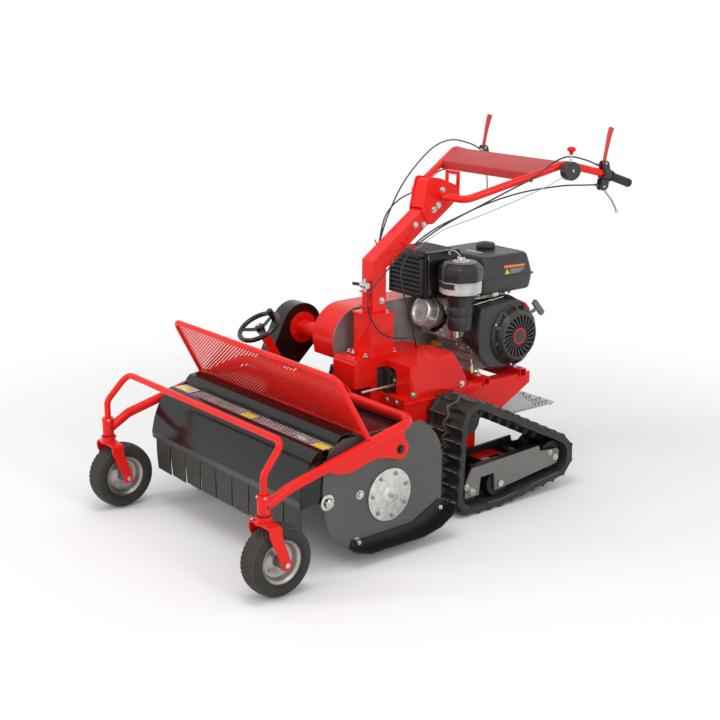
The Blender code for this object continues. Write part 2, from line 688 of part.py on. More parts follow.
def deck_top():
    """Folded top and rear sheet with the raised beam at its front, and the wall of the belt chamber."""
    half = DECK_INNER - GAP
    skin = side_plate("top", [sheet(TOP_PROFILE, SHEET)], -half, half)
    wall = [(BEAM_FRONT_Y + 0.010, 0.404), (-0.530, 0.440), (-0.486, 0.443), (-0.472, 0.424),
            (-0.240, DECK_TOP_Z),
            (-0.196, 0.419), (-0.160, 0.395), (-0.131, 0.362), (-0.116, 0.330), (-0.112, 0.290),
            (-0.112, 0.120),
            (-0.200, 0.070), (-0.470, 0.070), (-0.540, 0.120)]
    hole = arc((ROTOR_Y, ROTOR_Z), ROTOR_SHAFT + GAP, 0, 345, 23)
    chamber = side_plate("wall", [wall, hole], PARTITION_X - 0.005, PARTITION_X)
    mouth = box("mouth", (GUARD_BELT_OUTER_X + 0.004, -0.225, 0.38),
                (GUARD_BELT_INNER_X - 0.004, -0.160, 0.46))
    low = HOOD_PROFILE[0][0] + 0.0025
    high = BEAM_FRONT_Y + 0.001
    strip = level_plate("grille", [rectangle(-half, half, low, high)], 0.403, 0.4055)
    holes = []
    count = int(2 * (half - 0.03) / GRILLE_PITCH)
    for index in range(count):
        middle = (index - (count - 1) / 2) * GRILLE_PITCH
        for row, shift in ((0.30, 0.0), (0.66, GRILLE_PITCH / 2 if index < count - 1 else 0.0)):
            y = low + (high - low) * row
            long = GRILLE_PITCH / 3
            wide = GRILLE_PITCH / 5
            holes.append([(middle + shift - long, y), (middle + shift, y - wide), (middle + shift + long, y),
                          (middle + shift, y + wide)])
    piercing = prisms("piercing", holes, 0.03, Matrix.Translation((0, 0, 0.404)))
    keep(weld(cut(weld(skin, chamber), mouth), cut(strip, piercing)), "deck_top", BLACK)


def bearing_cover():
    """Round cover over the rotor's left bearing."""
    face = DECK_HALF + GAP
    radius = BEARING_COVER_RADIUS
    profile = [(0, 0.018), (0.026, 0.018), (0.030, 0.013), (0.034, 0.009), (radius - 0.002, 0.008),
               (radius, 0.006),
               (radius, 0), (0, 0)]
    disc = turned("cover", profile, (face, ROTOR_Y, ROTOR_Z), (1, 0, 0), 24)
    studs = []
    for index in range(7):
        angle = math.radians(20 + 360 / 7 * index)
        y = ROTOR_Y + (radius - 0.016) * math.cos(angle)
        z = ROTOR_Z + (radius - 0.016) * math.sin(angle)
        studs.append(hexagon("stud", (face + 0.005, y, z), (face + 0.016, y, z), 0.0065))
    keep(weld(disc, *studs), "bearing_cover", ZINC)


def rotor(pivot):
    """Rotor tube with its shaft, belt pulley and two spiral rows of hammer knives."""
    end = DECK_INNER - 0.020
    shaft = rod("shaft", (GUARD_BELT_OUTER_X + 0.006, ROTOR_Y, ROTOR_Z),
                (DECK_HALF - 0.001, ROTOR_Y, ROTOR_Z), ROTOR_SHAFT, 16)
    drum = rod("drum", (PARTITION_X + 0.006, ROTOR_Y, ROTOR_Z), (end, ROTOR_Y, ROTOR_Z), ROTOR_TUBE, 16)
    pulley = rod("pulley", (GUARD_BELT_OUTER_X + 0.014, ROTOR_Y, ROTOR_Z),
                 (GUARD_BELT_INNER_X - 0.012, ROTOR_Y, ROTOR_Z), DECK_PULLEY_RADIUS, 16)
    knives = []
    span = end - PARTITION_X - 0.06
    for index in range(KNIFE_COUNT):
        x = PARTITION_X + 0.032 + span * index / (KNIFE_COUNT - 1)
        angle = math.radians(67.5 * index)
        tip = KNIFE_RADIUS - 0.002
        outline = [(-0.006, ROTOR_TUBE - 0.006), (0.006, ROTOR_TUBE - 0.006), (0.006, tip - 0.012),
                   (0.014, tip),
                   (-0.014, tip), (-0.006, tip - 0.012)]
        knife = side_plate("knife", [outline], -0.018, 0.018)
        knife.data.transform(Matrix.Translation((x, ROTOR_Y, ROTOR_Z)) @ Matrix.Rotation(angle, 4, "X"))
        knives.append(knife)
    keep(weld(drum, shaft, pulley, *knives), "rotor", STEEL, pivot)


for side, sign in SIDES:
    deck_side(side, sign)
deck_hood()
flap_strip()
deck_top()
bearing_cover()
rotor(axis_point("rotor_axis", (0, ROTOR_Y, ROTOR_Z)))


# Belt drive and its covers

def deck_belt_guard():
    """Hollow guard over the belt from the drive shaft down to the deck."""
    circles = [(SHAFT_Y, SHAFT_Z, GUARD_BELT_RADIUS), (-0.200, 0.398, GUARD_BELT_FOOT_RADIUS)]
    outer = wrap(circles, 0.0, 14)
    shell = side_plate("guard", [outer], GUARD_BELT_OUTER_X, GUARD_BELT_INNER_X)
    hollow = side_plate("hollow", [wrap(circles, -SHEET, 14)], GUARD_BELT_OUTER_X + SHEET,
                        GUARD_BELT_INNER_X - SHEET)
    below = side_plate("below", [[(-0.60, 0.0), (0.10, 0.0), (0.10, 0.40), (-0.112, 0.4), (-0.150, 0.425),
                                  (-0.200, 0.4316), (-0.240, 0.4300), (-0.472, 0.4262), (-0.60, 0.43)]],
                       GUARD_BELT_OUTER_X - 0.01, GUARD_BELT_INNER_X + 0.01)
    bore = rod("bore", (GUARD_BELT_INNER_X - 0.008, SHAFT_Y, SHAFT_Z),
               (GUARD_BELT_INNER_X + 0.008, SHAFT_Y, SHAFT_Z), 0.020)
    keep(cut(shell, hollow, below, bore), "deck_belt_guard", BLACK)


def shaft_housing():
    """Tube round the drive shaft, with a flange on the belt guard."""
    near = COVER_FAR_X - GAP
    far = GUARD_BELT_INNER_X + GAP
    profile = [(0.030, near), (0.030, far + 0.008), (0.058, far + 0.008), (0.058, far),
               (SHAFT_RADIUS + 0.0005, far), (SHAFT_RADIUS + 0.0005, near)]
    body = turned("housing", [(radius, height) for radius, height in profile], (0, SHAFT_Y, SHAFT_Z),
                  (1, 0, 0), 20)
    bolts = []
    for angle in (20, 110, 200, 290):
        y = SHAFT_Y + 0.045 * math.cos(math.radians(angle))
        z = SHAFT_Z + 0.045 * math.sin(math.radians(angle))
        bolts.append(hexagon("bolt", (far + 0.006, y, z), (far + 0.015, y, z), 0.007))
    keep(weld(body, *bolts), "shaft_housing", RED)


def drive_shaft(pivot):
    """Shaft with the large pulley under the belt cover and the small one in the belt guard."""
    shaft = rod("shaft", (GUARD_BELT_OUTER_X + 0.010, SHAFT_Y, SHAFT_Z),
                (COVER_NEAR_X - 0.012, SHAFT_Y, SHAFT_Z), SHAFT_RADIUS, 20)
    large = rod("large", (COVER_FAR_X + 0.030, SHAFT_Y, SHAFT_Z), (COVER_NEAR_X - 0.040, SHAFT_Y, SHAFT_Z),
                0.052, 16)
    small = rod("small", (GUARD_BELT_OUTER_X + 0.014, SHAFT_Y, SHAFT_Z),
                (GUARD_BELT_INNER_X - 0.012, SHAFT_Y, SHAFT_Z), DECK_PULLEY_RADIUS, 16)
    keep(weld(shaft, large, small), "drive_shaft", STEEL, pivot)


def belt_cover():
    """Arched red cover over the engine belt, open on the side that its plate closes."""
    top = COVER_Z + COVER_RADIUS
    outline = arc((COVER_Y, COVER_Z), COVER_RADIUS, 90, 180, 8) + [(COVER_Y - COVER_RADIUS + 0.010, 0.505)]
    outline += [(0.060, 0.440), (COVER_REAR_Y, 0.440), (COVER_REAR_Y, CRANK_Z + 0.050)]
    outline += [(COVER_REAR_Y - 0.060, top)]
    shell = side_plate("cover", [outline], COVER_FAR_X, COVER_NEAR_X)
    inner = arc((COVER_Y, COVER_Z), COVER_RADIUS - SHEET, 90, 180,
                8) + [(COVER_Y - COVER_RADIUS + 0.0135, 0.508)]
    inner += [(0.061, 0.443), (COVER_REAR_Y - SHEET, 0.443), (COVER_REAR_Y - SHEET, CRANK_Z + 0.049)]
    inner += [(COVER_REAR_Y - 0.061, top - SHEET)]
    hollow = side_plate("hollow", [inner], COVER_FAR_X + SHEET, COVER_NEAR_X + 0.01)
    bore = rod("bore", (COVER_FAR_X - 0.01, SHAFT_Y, SHAFT_Z), (COVER_FAR_X + 0.01, SHAFT_Y, SHAFT_Z), 0.018)
    keep(cut(shell, hollow, bore), "belt_cover", RED)
    crank_hole = arc((CRANK_Y, CRANK_Z), 0.022, 0, 345, 23)
    plate = side_plate("plate", [outline, crank_hole], COVER_NEAR_X + GAP, COVER_NEAR_X + GAP + SHEET)
    keep(plate, "belt_cover_plate", ZINC)


deck_belt_guard()
shaft_housing()
belt_cover()
drive_shaft(axis_point("drive_shaft_axis", (0, SHAFT_Y, SHAFT_Z)))


# Chassis

def chassis_frame():
    """Welded frame: two side beams, cross members, front plates and engine rails."""
    beam = [(CHASSIS_FRONT_Y, CHASSIS_TOP), (CHASSIS_FRONT_Y, CHASSIS_BOTTOM), (0.385, CHASSIS_BOTTOM),
            (CHASSIS_REAR_Y, CHASSIS_REAR_Z), (CHASSIS_REAR_Y, CHASSIS_TOP)]
    axle_hole = arc(SPROCKET[:2], 0.034, 0, 330, 11)
    wall = CHASSIS_HALF - PLATE
    pieces = []
    for side, sign in SIDES:
        pieces.append(side_plate("beam", [beam, axle_hole], *sorted((sign * wall, sign * CHASSIS_HALF))))
        low, high = sorted((sign * (CHASSIS_HALF - 0.045), sign * CHASSIS_HALF))
        pieces.append(box("flange", (low, 0.110, CHASSIS_TOP - 0.005), (high, CHASSIS_REAR_Y, CHASSIS_TOP)))
        low, high = sorted((sign * (BOX_HALF + GAP), sign * (CHASSIS_HALF - 0.001)))
        front = cross_plate("front", [rectangle(low, high, 0.290, CHASSIS_TOP - 0.001),
                                      rectangle(low + 0.030, high - 0.025, 0.318, 0.372)],
                            CHASSIS_FRONT_Y, CHASSIS_FRONT_Y + PLATE)
        pieces.append(front)
        pieces.append(box("ledge", (low, CHASSIS_FRONT_Y, CHASSIS_TOP - 0.005), (high, -0.005, CHASSIS_TOP)))
        pieces.append(box("arm", (min(sign * 0.080, sign * 0.130), DECK_REAR_Y + GAP, 0.296),
                          (max(sign * 0.080, sign * 0.130), CHASSIS_FRONT_Y + 0.001, 0.350)))
    middle = wall + 0.002
    pieces.append(box("member", (-middle, BOX_REAR_Y + 0.010, 0.300),
                      (middle, BOX_REAR_Y + 0.016, CHASSIS_TOP - 0.001)))
    pieces.append(box("member", (-middle, CHASSIS_REAR_Y - 0.030, 0.364),
                      (middle, CHASSIS_REAR_Y - 0.001, CHASSIS_TOP - 0.001)))
    for y in (RAIL_FRONT_Y, RAIL_REAR_Y):
        rail = box("rail", (-CHASSIS_HALF - 0.006, y - RAIL_SIZE / 2, RAIL_TOP - RAIL_SIZE),
                   (CHASSIS_HALF + 0.006, y + RAIL_SIZE / 2, RAIL_TOP))
        pieces.append(rail)
    bores = [box("bore", (-CHASSIS_HALF - 0.01, y - RAIL_SIZE / 2 + 0.003, RAIL_TOP - RAIL_SIZE + 0.003),
                 (CHASSIS_HALF + 0.01, y + RAIL_SIZE / 2 - 0.003, RAIL_TOP - 0.003))
             for y in (RAIL_FRONT_Y, RAIL_REAR_Y)]
    keep(cut(weld(pieces[0], *pieces[1:]), *bores), "chassis_frame", RED)


def gearbox_housing():
    """Box over the gears with a linkage opening, a nose over the deck and the two final drive tubes."""
    nose = 0.434
    body = side_plate("housing", [[(BOX_FRONT_Y, nose), (BOX_NECK_Y, nose), (BOX_NECK_Y, CHASSIS_BOTTOM),
                                   (BOX_REAR_Y, CHASSIS_BOTTOM), (BOX_REAR_Y, BOX_TOP),
                                   (BOX_FRONT_Y + 0.012, BOX_TOP),
                                   (BOX_FRONT_Y, BOX_TOP - 0.015)]], -BOX_HALF, BOX_HALF)
    hollow = side_plate("hollow", [[(BOX_FRONT_Y + PLATE, nose + PLATE), (BOX_NECK_Y + PLATE, nose + PLATE),
                                    (BOX_NECK_Y + PLATE, CHASSIS_BOTTOM - 0.01),
                                    (BOX_REAR_Y - PLATE, CHASSIS_BOTTOM - 0.01),
                                    (BOX_REAR_Y - PLATE, BOX_TOP - PLATE),
                                    (BOX_FRONT_Y + PLATE, BOX_TOP - PLATE)]],
                        -BOX_HALF + PLATE, BOX_HALF - PLATE)
    window = box("window", (BOX_HALF - 0.02, -0.069, 0.409), (BOX_HALF + 0.02, -0.029, 0.496))
    y, z = SPROCKET[:2]
    drives = [rod("drive", (sign * (BOX_HALF - 0.003), y, z), (sign * (CHASSIS_HALF + 0.008), y, z), 0.030,
                  24)
              for side, sign in SIDES]
    lead = rod("lead", (BOX_HALF - 0.002, -0.085, 0.445), (BOX_HALF + 0.052, -0.085, 0.445), 0.0045, 12)
    bore = rod("bore", (-CHASSIS_HALF - 0.02, y, z), (CHASSIS_HALF + 0.02, y, z), 0.0158, 20)
    keep(weld(cut(weld(body, *drives), hollow, window, bore), lead), "gearbox_housing", RED)


def footplate():
    """Galvanised step behind the chassis, with raised holes."""
    rear = 0.735
    front = 0.470
    half = 0.170
    level = 0.243
    holes = []
    for column in range(5):
        for row in range(3):
            x = -half + 0.035 + column * (2 * half - 0.070) / 4
            y = front + 0.110 + row * (rear - front - 0.150) / 2
            holes.append(arc((x, y), 0.010, 0, 300, 5))
    plate = level_plate("step", [rectangle(-half, half, front, rear)] + holes, level, level + 0.003)
    lip = box("lip", (-half, rear - 0.004, level - 0.014), (half, rear, level + 0.002))
    low = 0.385 + 0.05
    hangers = []
    for side, sign in SIDES:
        x_low, x_high = sorted((sign * 0.150, sign * 0.156))
        hanger = [(0.410, CHASSIS_BOTTOM + 0.060), (0.410, level + 0.001), (0.640, level + 0.001),
                  (0.560, 0.300),
                  (0.500, 0.355), (0.440, 0.355)]
        hangers.append(side_plate("hanger", [hanger], x_low, x_high))
    tie = box("tie", (-0.156, 0.412, 0.300), (0.156, 0.418, 0.340))
    feet = [box("foot", (*sorted((sign * 0.150, sign * (CHASSIS_HALF - PLATE - GAP)))[:1], low, 0.320),
                (sorted((sign * 0.150, sign * (CHASSIS_HALF - PLATE - GAP)))[1], low + 0.050, 0.326))
            for side, sign in SIDES]
    keep(weld(plate, lip, *hangers, tie, *feet), "footplate", ZINC)


def drive_cover():
    """Red cover over the left track drive, open below."""
    low = BOX_HALF + GAP
    outline = [(-0.028, CHASSIS_TOP + GAP), (-0.028, 0.520), (0.165, 0.543), (0.184, 0.524), (0.236, 0.442),
               (COVER_SIDE_REAR_Y, CHASSIS_TOP + GAP)]
    inner = [(-0.028 + SHEET, CHASSIS_TOP - 0.01), (-0.028 + SHEET, 0.5172), (0.164, 0.5398), (0.181, 0.522),
             (0.233, 0.4405), (COVER_SIDE_REAR_Y - SHEET, CHASSIS_TOP - 0.01)]
    shell = side_plate("cover", [outline], low, CHASSIS_HALF)
    hollow = side_plate("hollow", [inner], low + SHEET, CHASSIS_HALF - SHEET)
    notch = cross_plate("notch", [[(low - 0.01, CHASSIS_TOP - 0.01), (0.116, CHASSIS_TOP - 0.01),
                                   (0.116, 0.480),
                                   (0.112, 0.491), (0.101, 0.495), (low - 0.01, 0.495)]], -0.040,
                                   -0.028 + SHEET + 0.001)
    bolts = [hexagon("bolt", (CHASSIS_HALF - 0.001, y, 0.416), (CHASSIS_HALF + 0.006, y, 0.416), 0.007)
             for y in (-0.012, 0.216)]
    keep(cut(weld(shell, *bolts), hollow, notch), "drive_cover", RED)


chassis_frame()
gearbox_housing()
footplate()
drive_cover()


# Tracks

def lugged(outline, count, height, share):
    """Outline with square lugs standing on it, spaced evenly along its length."""
    points = [Vector(point) for point in outline]
    lengths = [(after - here).length for here, after in zip(points, points[1:] + points[:1])]
    total = sum(lengths)

    def at(distance):
        distance %= total
        for index, length in enumerate(lengths):
            if distance <= length:
                here = points[index]
                after = points[(index + 1) % len(points)]
                along = (after - here).normalized()
                return here + along * distance, Vector((along.y, -along.x)), index
            distance -= length
        return points[0], Vector((0, 0)), 0

    pitch = total / count
    result = []
    starts = [sum(lengths[:index]) for index in range(len(points))]
    for index in range(count):
        begin = index * pitch
        end = begin + pitch * share
        for distance, raised in ((begin, False), (begin + pitch * 0.06, True), (end - pitch * 0.06, True),
                                 (end, False)):
            place, outward, _ = at(distance)
            result.append(tuple(place + outward * (height if raised else 0.0)))
        result += [tuple(points[corner]) for corner, start in enumerate(starts)
                   if end + 0.002 < start < begin + pitch - 0.002]
    return result


TRACK_CIRCLES = [FRONT_IDLER, ROLLER, REAR_IDLER, SPROCKET]
TRACK_MIDDLE = (TRACK_INNER_X + TRACK_OUTER_X) / 2


def track_belt(side, sign):
    """Rubber belt with outer lugs across its width and a row of inner teeth."""
    low, high = sorted((sign * TRACK_INNER_X, sign * TRACK_OUTER_X))
    inside = wrap(TRACK_CIRCLES, -CARCASS, 10)
    carcass = side_plate("belt", [lugged(wrap(TRACK_CIRCLES, 0.0, 10), LUG_COUNT, LUG_HEIGHT, 0.5), inside],
                         low, high)
    middle = sign * TRACK_MIDDLE
    root = wrap(TRACK_CIRCLES, -CARCASS * 0.7, 10)
    teeth = side_plate("teeth", [wrap(TRACK_CIRCLES, -CARCASS * 0.3, 10),
                                 lugged(root, LUG_COUNT, -TOOTH_HEIGHT - CARCASS * 0.3, 0.45)],
                       middle - TOOTH_HALF, middle + TOOTH_HALF)
    keep(weld(carcass, teeth), "track_belt_" + side, RUBBER)


def track_wheel(name, circle, side, sign, pivot):
    """Wheel inside the belt: two discs with a groove for the teeth between them."""
    y, z, outer = circle
    radius = (outer - CARCASS) * math.cos(math.pi / 20) - 0.0008
    groove = radius - TOOTH_HEIGHT - 0.003
    inner = sign * (TRACK_INNER_X + 0.016)
    length = 0.128
    half = TOOTH_HALF + 0.003
    centre = TRACK_MIDDLE - TRACK_INNER_X - 0.016
    bore = WHEEL_AXLE + GAP
    profile = [(bore, length), (radius, length), (radius, centre + half), (groove, centre + half),
               (groove, centre - half), (radius, centre - half), (radius, 0), (bore, 0)]
    wheel = turned(name, profile, (inner, y, z), (sign, 0, 0), 16)
    keep(wheel, name + "_" + side, GREY_PLATE, pivot)


def sprocket(side, sign, pivot):
    """Drive wheel on the final drive's shaft."""
    y, z, outer = SPROCKET
    radius = (outer - CARCASS) * math.cos(math.pi / 20) - 0.0008
    groove = radius - TOOTH_HEIGHT - 0.003
    start = CHASSIS_HALF + 0.012
    half = TOOTH_HALF + 0.003
    shift = TRACK_MIDDLE - start
    profile = [(0, 0.135), (0.020, 0.135), (0.022, 0.126), (radius, 0.126), (radius, shift + half),
               (groove, shift + half),
               (groove, shift - half), (radius, shift - half), (radius, 0.018), (0.024, 0.018), (0.024, 0.0),
               (0.0155, 0.0), (0.0155, -0.130), (0, -0.130)]
    wheel = turned("sprocket", profile, (sign * start, y, z), (sign, 0, 0), 16)
    keep(wheel, "sprocket_" + side, GREY_PLATE, pivot)


def track_frame(side, sign):
    """Plates, axles and cross members that carry the idlers inside the belt."""
    outline = [(0.085, 0.062), (0.150, 0.062), (0.158, 0.126), (0.223, 0.128), (0.229, 0.062), (0.285, 0.066),
               (0.540, 0.096), (0.552, 0.112), (0.552, 0.142), (0.545, 0.152), (0.455, 0.159), (0.447, 0.181),
               (0.115, 0.168), (0.088, 0.120)]
    outer = TRACK_INNER_X + 0.152
    inner = TRACK_INNER_X + 0.006
    plates = [side_plate("plate", [outline], *sorted((sign * x, sign * (x + PLATE)))) for x in (outer, inner)]
    axles = []
    for y, z, _ in (FRONT_IDLER, ROLLER, REAR_IDLER):
        axles.append(rod("axle", (sign * (inner + 0.001), y, z), (sign * (outer + 0.010), y, z), WHEEL_AXLE,
                         10))
        axles.append(hexagon("nut", (sign * (outer + PLATE - 0.001), y, z),
                             (sign * (outer + PLATE + 0.010), y, z), 0.013))
    members = [box("member", (min(sign * (inner + 0.001), sign * (outer + 0.001)), y, z),
                   (max(sign * (inner + 0.001), sign * (outer + 0.001)), y + 0.030, z + 0.030))
               for y, z in ((0.370, 0.130),)]
    link_low, link_high = sorted((sign * (CHASSIS_HALF + GAP), sign * (inner + 0.002)))
    link = box("link", (link_low, 0.226, 0.122), (link_high, 0.316, 0.151))
    post_low, post_high = sorted((sign * (CHASSIS_HALF + GAP), sign * (CHASSIS_HALF + 0.008)))
    post = box("post", (post_low, 0.231, 0.124), (post_high, 0.281, 0.330))
    y, z, outer_radius = ROLLER
    radius = (outer_radius - CARCASS) * math.cos(math.pi / 20) - 0.0008
    shoes = [rod("runner", (sign * x, y, z), (sign * (x + 0.030), y, z), radius, 14)
             for x in (TRACK_MIDDLE - TOOTH_HALF - 0.036, TRACK_MIDDLE + TOOTH_HALF + 0.006)]
    keep(weld(plates[0], plates[1], *axles, *shoes, *members, link, post), "track_frame_" + side, GREY_PLATE)


for side, sign in SIDES:
    track_belt(side, sign)
    track_frame(side, sign)
    track_wheel("front_idler", FRONT_IDLER, side, sign,
                axis_point("front_idler_axis_" + side, (sign * TRACK_MIDDLE, *FRONT_IDLER[:2])))
    track_wheel("rear_idler", REAR_IDLER, side, sign,
                axis_point("rear_idler_axis_" + side, (sign * TRACK_MIDDLE, *REAR_IDLER[:2])))
    sprocket(side, sign, axis_point("sprocket_axis_" + side, (sign * TRACK_MIDDLE, *SPROCKET[:2])))


# Steering column

def column_base():
    """Box that carries the column's swivel, bolted on the gearbox."""
    low = BOX_TOP + GAP
    half = COLUMN_BASE_HALF
    body = box("base", (-half, COLUMN_Y - half, low), (half, COLUMN_Y + half, COLUMN_BASE_TOP))
    foot = box("foot", (-half - 0.008, COLUMN_Y - half - 0.014, low),
               (half + 0.008, COLUMN_Y + half + 0.014, low + 0.006))
    rim = box("rim", (-half - 0.005, COLUMN_Y - half - 0.005, COLUMN_BASE_TOP - PLATE),
              (half + 0.005, COLUMN_Y + half + 0.005, COLUMN_BASE_TOP))
    hollow = box("hollow", (-half + 0.005, COLUMN_Y - half + 0.005, low + 0.006),
                 (half - 0.005, COLUMN_Y + half - 0.005, COLUMN_BASE_TOP - PLATE))
    bore = rod("bore", (0, COLUMN_Y, COLUMN_BASE_TOP - 0.03), (0, COLUMN_Y, COLUMN_BASE_TOP + 0.01), 0.0203,
               24)
    bolts = [hexagon("bolt", (x, COLUMN_Y + y, low + 0.005), (x, COLUMN_Y + y, low + 0.014), 0.008)
             for x in (-half + 0.004, half - 0.004) for y in (-half - 0.0065, half + 0.0065)]
    keep(cut(weld(body, foot, rim, *bolts), hollow, bore), "column_base", RED)


SLOPE = Vector((0, math.cos(COLUMN_SLOPE), math.sin(COLUMN_SLOPE)))
ACROSS = Vector((0, -math.sin(COLUMN_SLOPE), math.cos(COLUMN_SLOPE)))
BEND = Vector((0, COLUMN_Y, COLUMN_BEND_Z))
TILT = BEND + SLOPE * COLUMN_ARM


def upper_column(pivot):
    """Square tube that turns on the base and leans back, with its lock tube and cable hooks."""
    half = COLUMN_HALF
    low = COLUMN_BASE_TOP + GAP

    def outline(half, low, reach):
        corner = half * math.tan((math.pi / 2 - COLUMN_SLOPE) / 2)
        end = BEND + SLOPE * (COLUMN_ARM + reach)
        top = end + ACROSS * half
        foot = end - ACROSS * half
        return [(COLUMN_Y - half, low), (COLUMN_Y + half, low), (COLUMN_Y + half, COLUMN_BEND_Z - corner),
                (foot.y, foot.z), (top.y, top.z), (COLUMN_Y - half, COLUMN_BEND_Z + corner)]

    body = side_plate("column", [outline(half, low, 0.022)], -half, half)
    hollow = side_plate("hollow", [outline(half - SHEET, low + 0.010, 0.040)], -half + SHEET, half - SHEET)
    spigot = rod("spigot", (0, COLUMN_Y, 0.600), (0, COLUMN_Y, low + 0.004), 0.020, 24)
    front = COLUMN_Y - half
    lock = rod("lock", (0.006, front - 0.016, low + 0.004), (0.006, front - 0.016, 0.792), 0.009, 16)
    brackets = [box("bracket", (-0.012, front - 0.028, z), (0.024, front + 0.001, z + 0.004))
                for z in (0.712, 0.760)]
    head = rod("head", (-0.012, front - 0.016, 0.784), (0.022, front - 0.016, 0.784), 0.011, 12)
    lever = rod("lever", (-0.058, front - 0.016, 0.780), (-0.010, front - 0.016, 0.784), 0.006, 12)
    tilt_hole = rod("hole", (-0.1, TILT.y, TILT.z), (0.1, TILT.y, TILT.z), 0.0083, 20)
    hooks = []
    for path in ([(half - 0.002, 0.062, 0.925), (0.052, 0.070, 0.921), (0.060, 0.102, 0.903),
                  (0.050, 0.108, 0.885)],
                 [(0.002 - half, 0.020, 0.905), (-0.042, 0.010, 0.912), (-0.056, 0.012, 0.924)]):
        hooks.append(as_mesh(tube("hook", path, 0.003, 1)))
    keep(weld(cut(body, hollow, tilt_hole), spigot, lock, head, lever, *brackets, *hooks), "upper_column",
         RED, pivot)


HANDLE_HALF = [(0.060, 0.236, 1.070), HANDLE_ELBOW, HANDLE_BEND, HANDLE_CLAMP, HANDLE_END]
HANDLE_PATH = bent([(-x, y, z) for x, y, z in HANDLE_HALF[::-1]] + HANDLE_HALF, 0.045, 2)


def handlebar(pivot):
    """Folded head on its tilt bolt, two bent tubes as one run and the plate between them."""
    inner = COLUMN_HALF + GAP
    outline = [(0.176, 1.134), (0.190, 1.140), (0.235, 1.132), (0.325, 1.097), (0.324, 1.059), (0.289, 1.029),
               (0.205, 0.972), (0.182, 0.972), (0.150, 1.024)]
    plates = [side_plate("head", [outline], *sorted((sign * inner, sign * (inner + PLATE)))) for side,
              sign in SIDES]
    cap = side_plate("cap", [sheet([(0.155, 1.036), (0.181, 1.128), (0.192, 1.133), (0.233, 1.126),
                                    (0.258, 1.116)], 0.005)],
                     -inner - 0.001, inner + 0.001)
    bolt = rod("bolt", (-inner - 0.001, TILT.y, TILT.z), (inner + 0.001, TILT.y, TILT.z), 0.008, 20)
    studs = [hexagon("stud", (sign * (inner + PLATE - 0.001), y, z), (sign * (inner + PLATE + 0.007), y, z),
                     0.009)
             for side, sign in SIDES for y, z in ((TILT.y, TILT.z), (0.185, 1.060), (0.200, 1.078))]
    run = as_mesh(tube("run", HANDLE_PATH, HANDLE_TUBE))
    loop = cross_plate("loop", [rectangle(-0.036, 0.036, 1.060, 1.149),
                                rectangle(-0.022, 0.022, 1.076, 1.136)],
                       0.322, 0.328)
    fold = [(0.476, 1.120), (0.480, 1.150), (0.600, 1.190), (0.606, 1.168)]
    plate = side_plate("plate", [sheet(fold, SHEET)], -0.30, 0.30)
    trim = level_plate("trim", [[(-0.246, 0.46), (0.246, 0.46), (0.288, 0.62), (-0.288, 0.62)]], 1.05, 1.25)
    boolean(plate, "INTERSECT", [trim])
    keep(weld(run, plate, *plates, cap, bolt, loop, *studs), "handlebar", RED, pivot)


CLAMP = Vector(HANDLE_CLAMP)
GRIP_LINE = (Vector(HANDLE_END) - CLAMP).normalized()


def mirrored(vector, sign):
    return Vector((sign * vector.x, vector.y, vector.z))


def grip(side, sign, pivot):
    """Ribbed grip with a closed end."""
    start = mirrored(Vector(HANDLE_END) - GRIP_LINE * (GRIP_LENGTH - 0.006), sign)
    bore = HANDLE_TUBE + GAP
    depth = GRIP_LENGTH - 0.006 + GAP
    profile = [(0, GRIP_LENGTH), (GRIP_RADIUS - 0.004, GRIP_LENGTH), (GRIP_RADIUS, GRIP_LENGTH - 0.003)]
    profile.append((GRIP_RADIUS, 0.008))
    profile += [(GRIP_RADIUS + 0.004, 0.006), (GRIP_RADIUS + 0.004, 0.0), (bore, 0.0), (bore, depth),
                (0, depth)]
    solid = turned("grip", profile, start, mirrored(GRIP_LINE, sign), 16)
    keep(solid, "grip_" + side, RUBBER, pivot)


CLUTCH_PIN = (0.776, 1.171)
BRAKE_PIN = (0.770, 1.088)


def control_clamp(side, sign, pivot):
    """Black clamp round the tube with two forks for the levers."""
    centre = mirrored(CLAMP + GRIP_LINE * 0.0, sign)
    half = 0.0165
    start = Vector(HANDLE_CLAMP) - Vector(HANDLE_BEND)
    along = mirrored(((Vector(HANDLE_END) - CLAMP).normalized() + start.normalized()).normalized(), sign)
    collar = rod("collar", centre - along * half, centre + along * half, 0.0225, 16)
    x = centre.x
    pieces = []
    for lean in (1, -1):
        low, high = sorted((x + lean * 0.0056, x + lean * 0.0120))
        top = [(0.762, 1.147), (0.800, 1.140), (0.792, 1.172), (0.784, 1.180), (0.768, 1.180), (0.762, 1.172)]
        pieces.append(side_plate("top", [top], low, high))
        foot = [(0.758, 1.118), (0.796, 1.108), (0.792, 1.084), (0.778, 1.074), (0.762, 1.074),
                (0.754, 1.084)]
        pieces.append(side_plate("foot", [foot], low, high))
    pins = [rod("pin", (x - 0.0125, *place), (x + 0.0125, *place), 0.0035, 8)
            for place in (CLUTCH_PIN, BRAKE_PIN)]
    seat = as_mesh(tube("seat", HANDLE_PATH, HANDLE_TUBE + GAP * 1.4))
    keep(weld(cut(weld(collar, *pieces), seat), *pins), "control_clamp_" + side, BLACK, pivot)


def clutch_lever(side, sign, pivot):
    x = sign * CLAMP.x
    blade = wrap([(*CLUTCH_PIN, 0.0085), (0.800, 1.290, 0.0085)], steps=8)
    hole = arc(CLUTCH_PIN, 0.0038, 0, 330, 11)
    body = side_plate("blade", [blade, hole], x - 0.005, x + 0.005)
    handle = tube("handle", [(x, 0.788, 1.215), (x, 0.800, 1.280), (x, 0.806, 1.2975)], 0.0095, 2)
    keep(weld(body, as_mesh(handle)), "clutch_lever_" + side, RED, pivot)


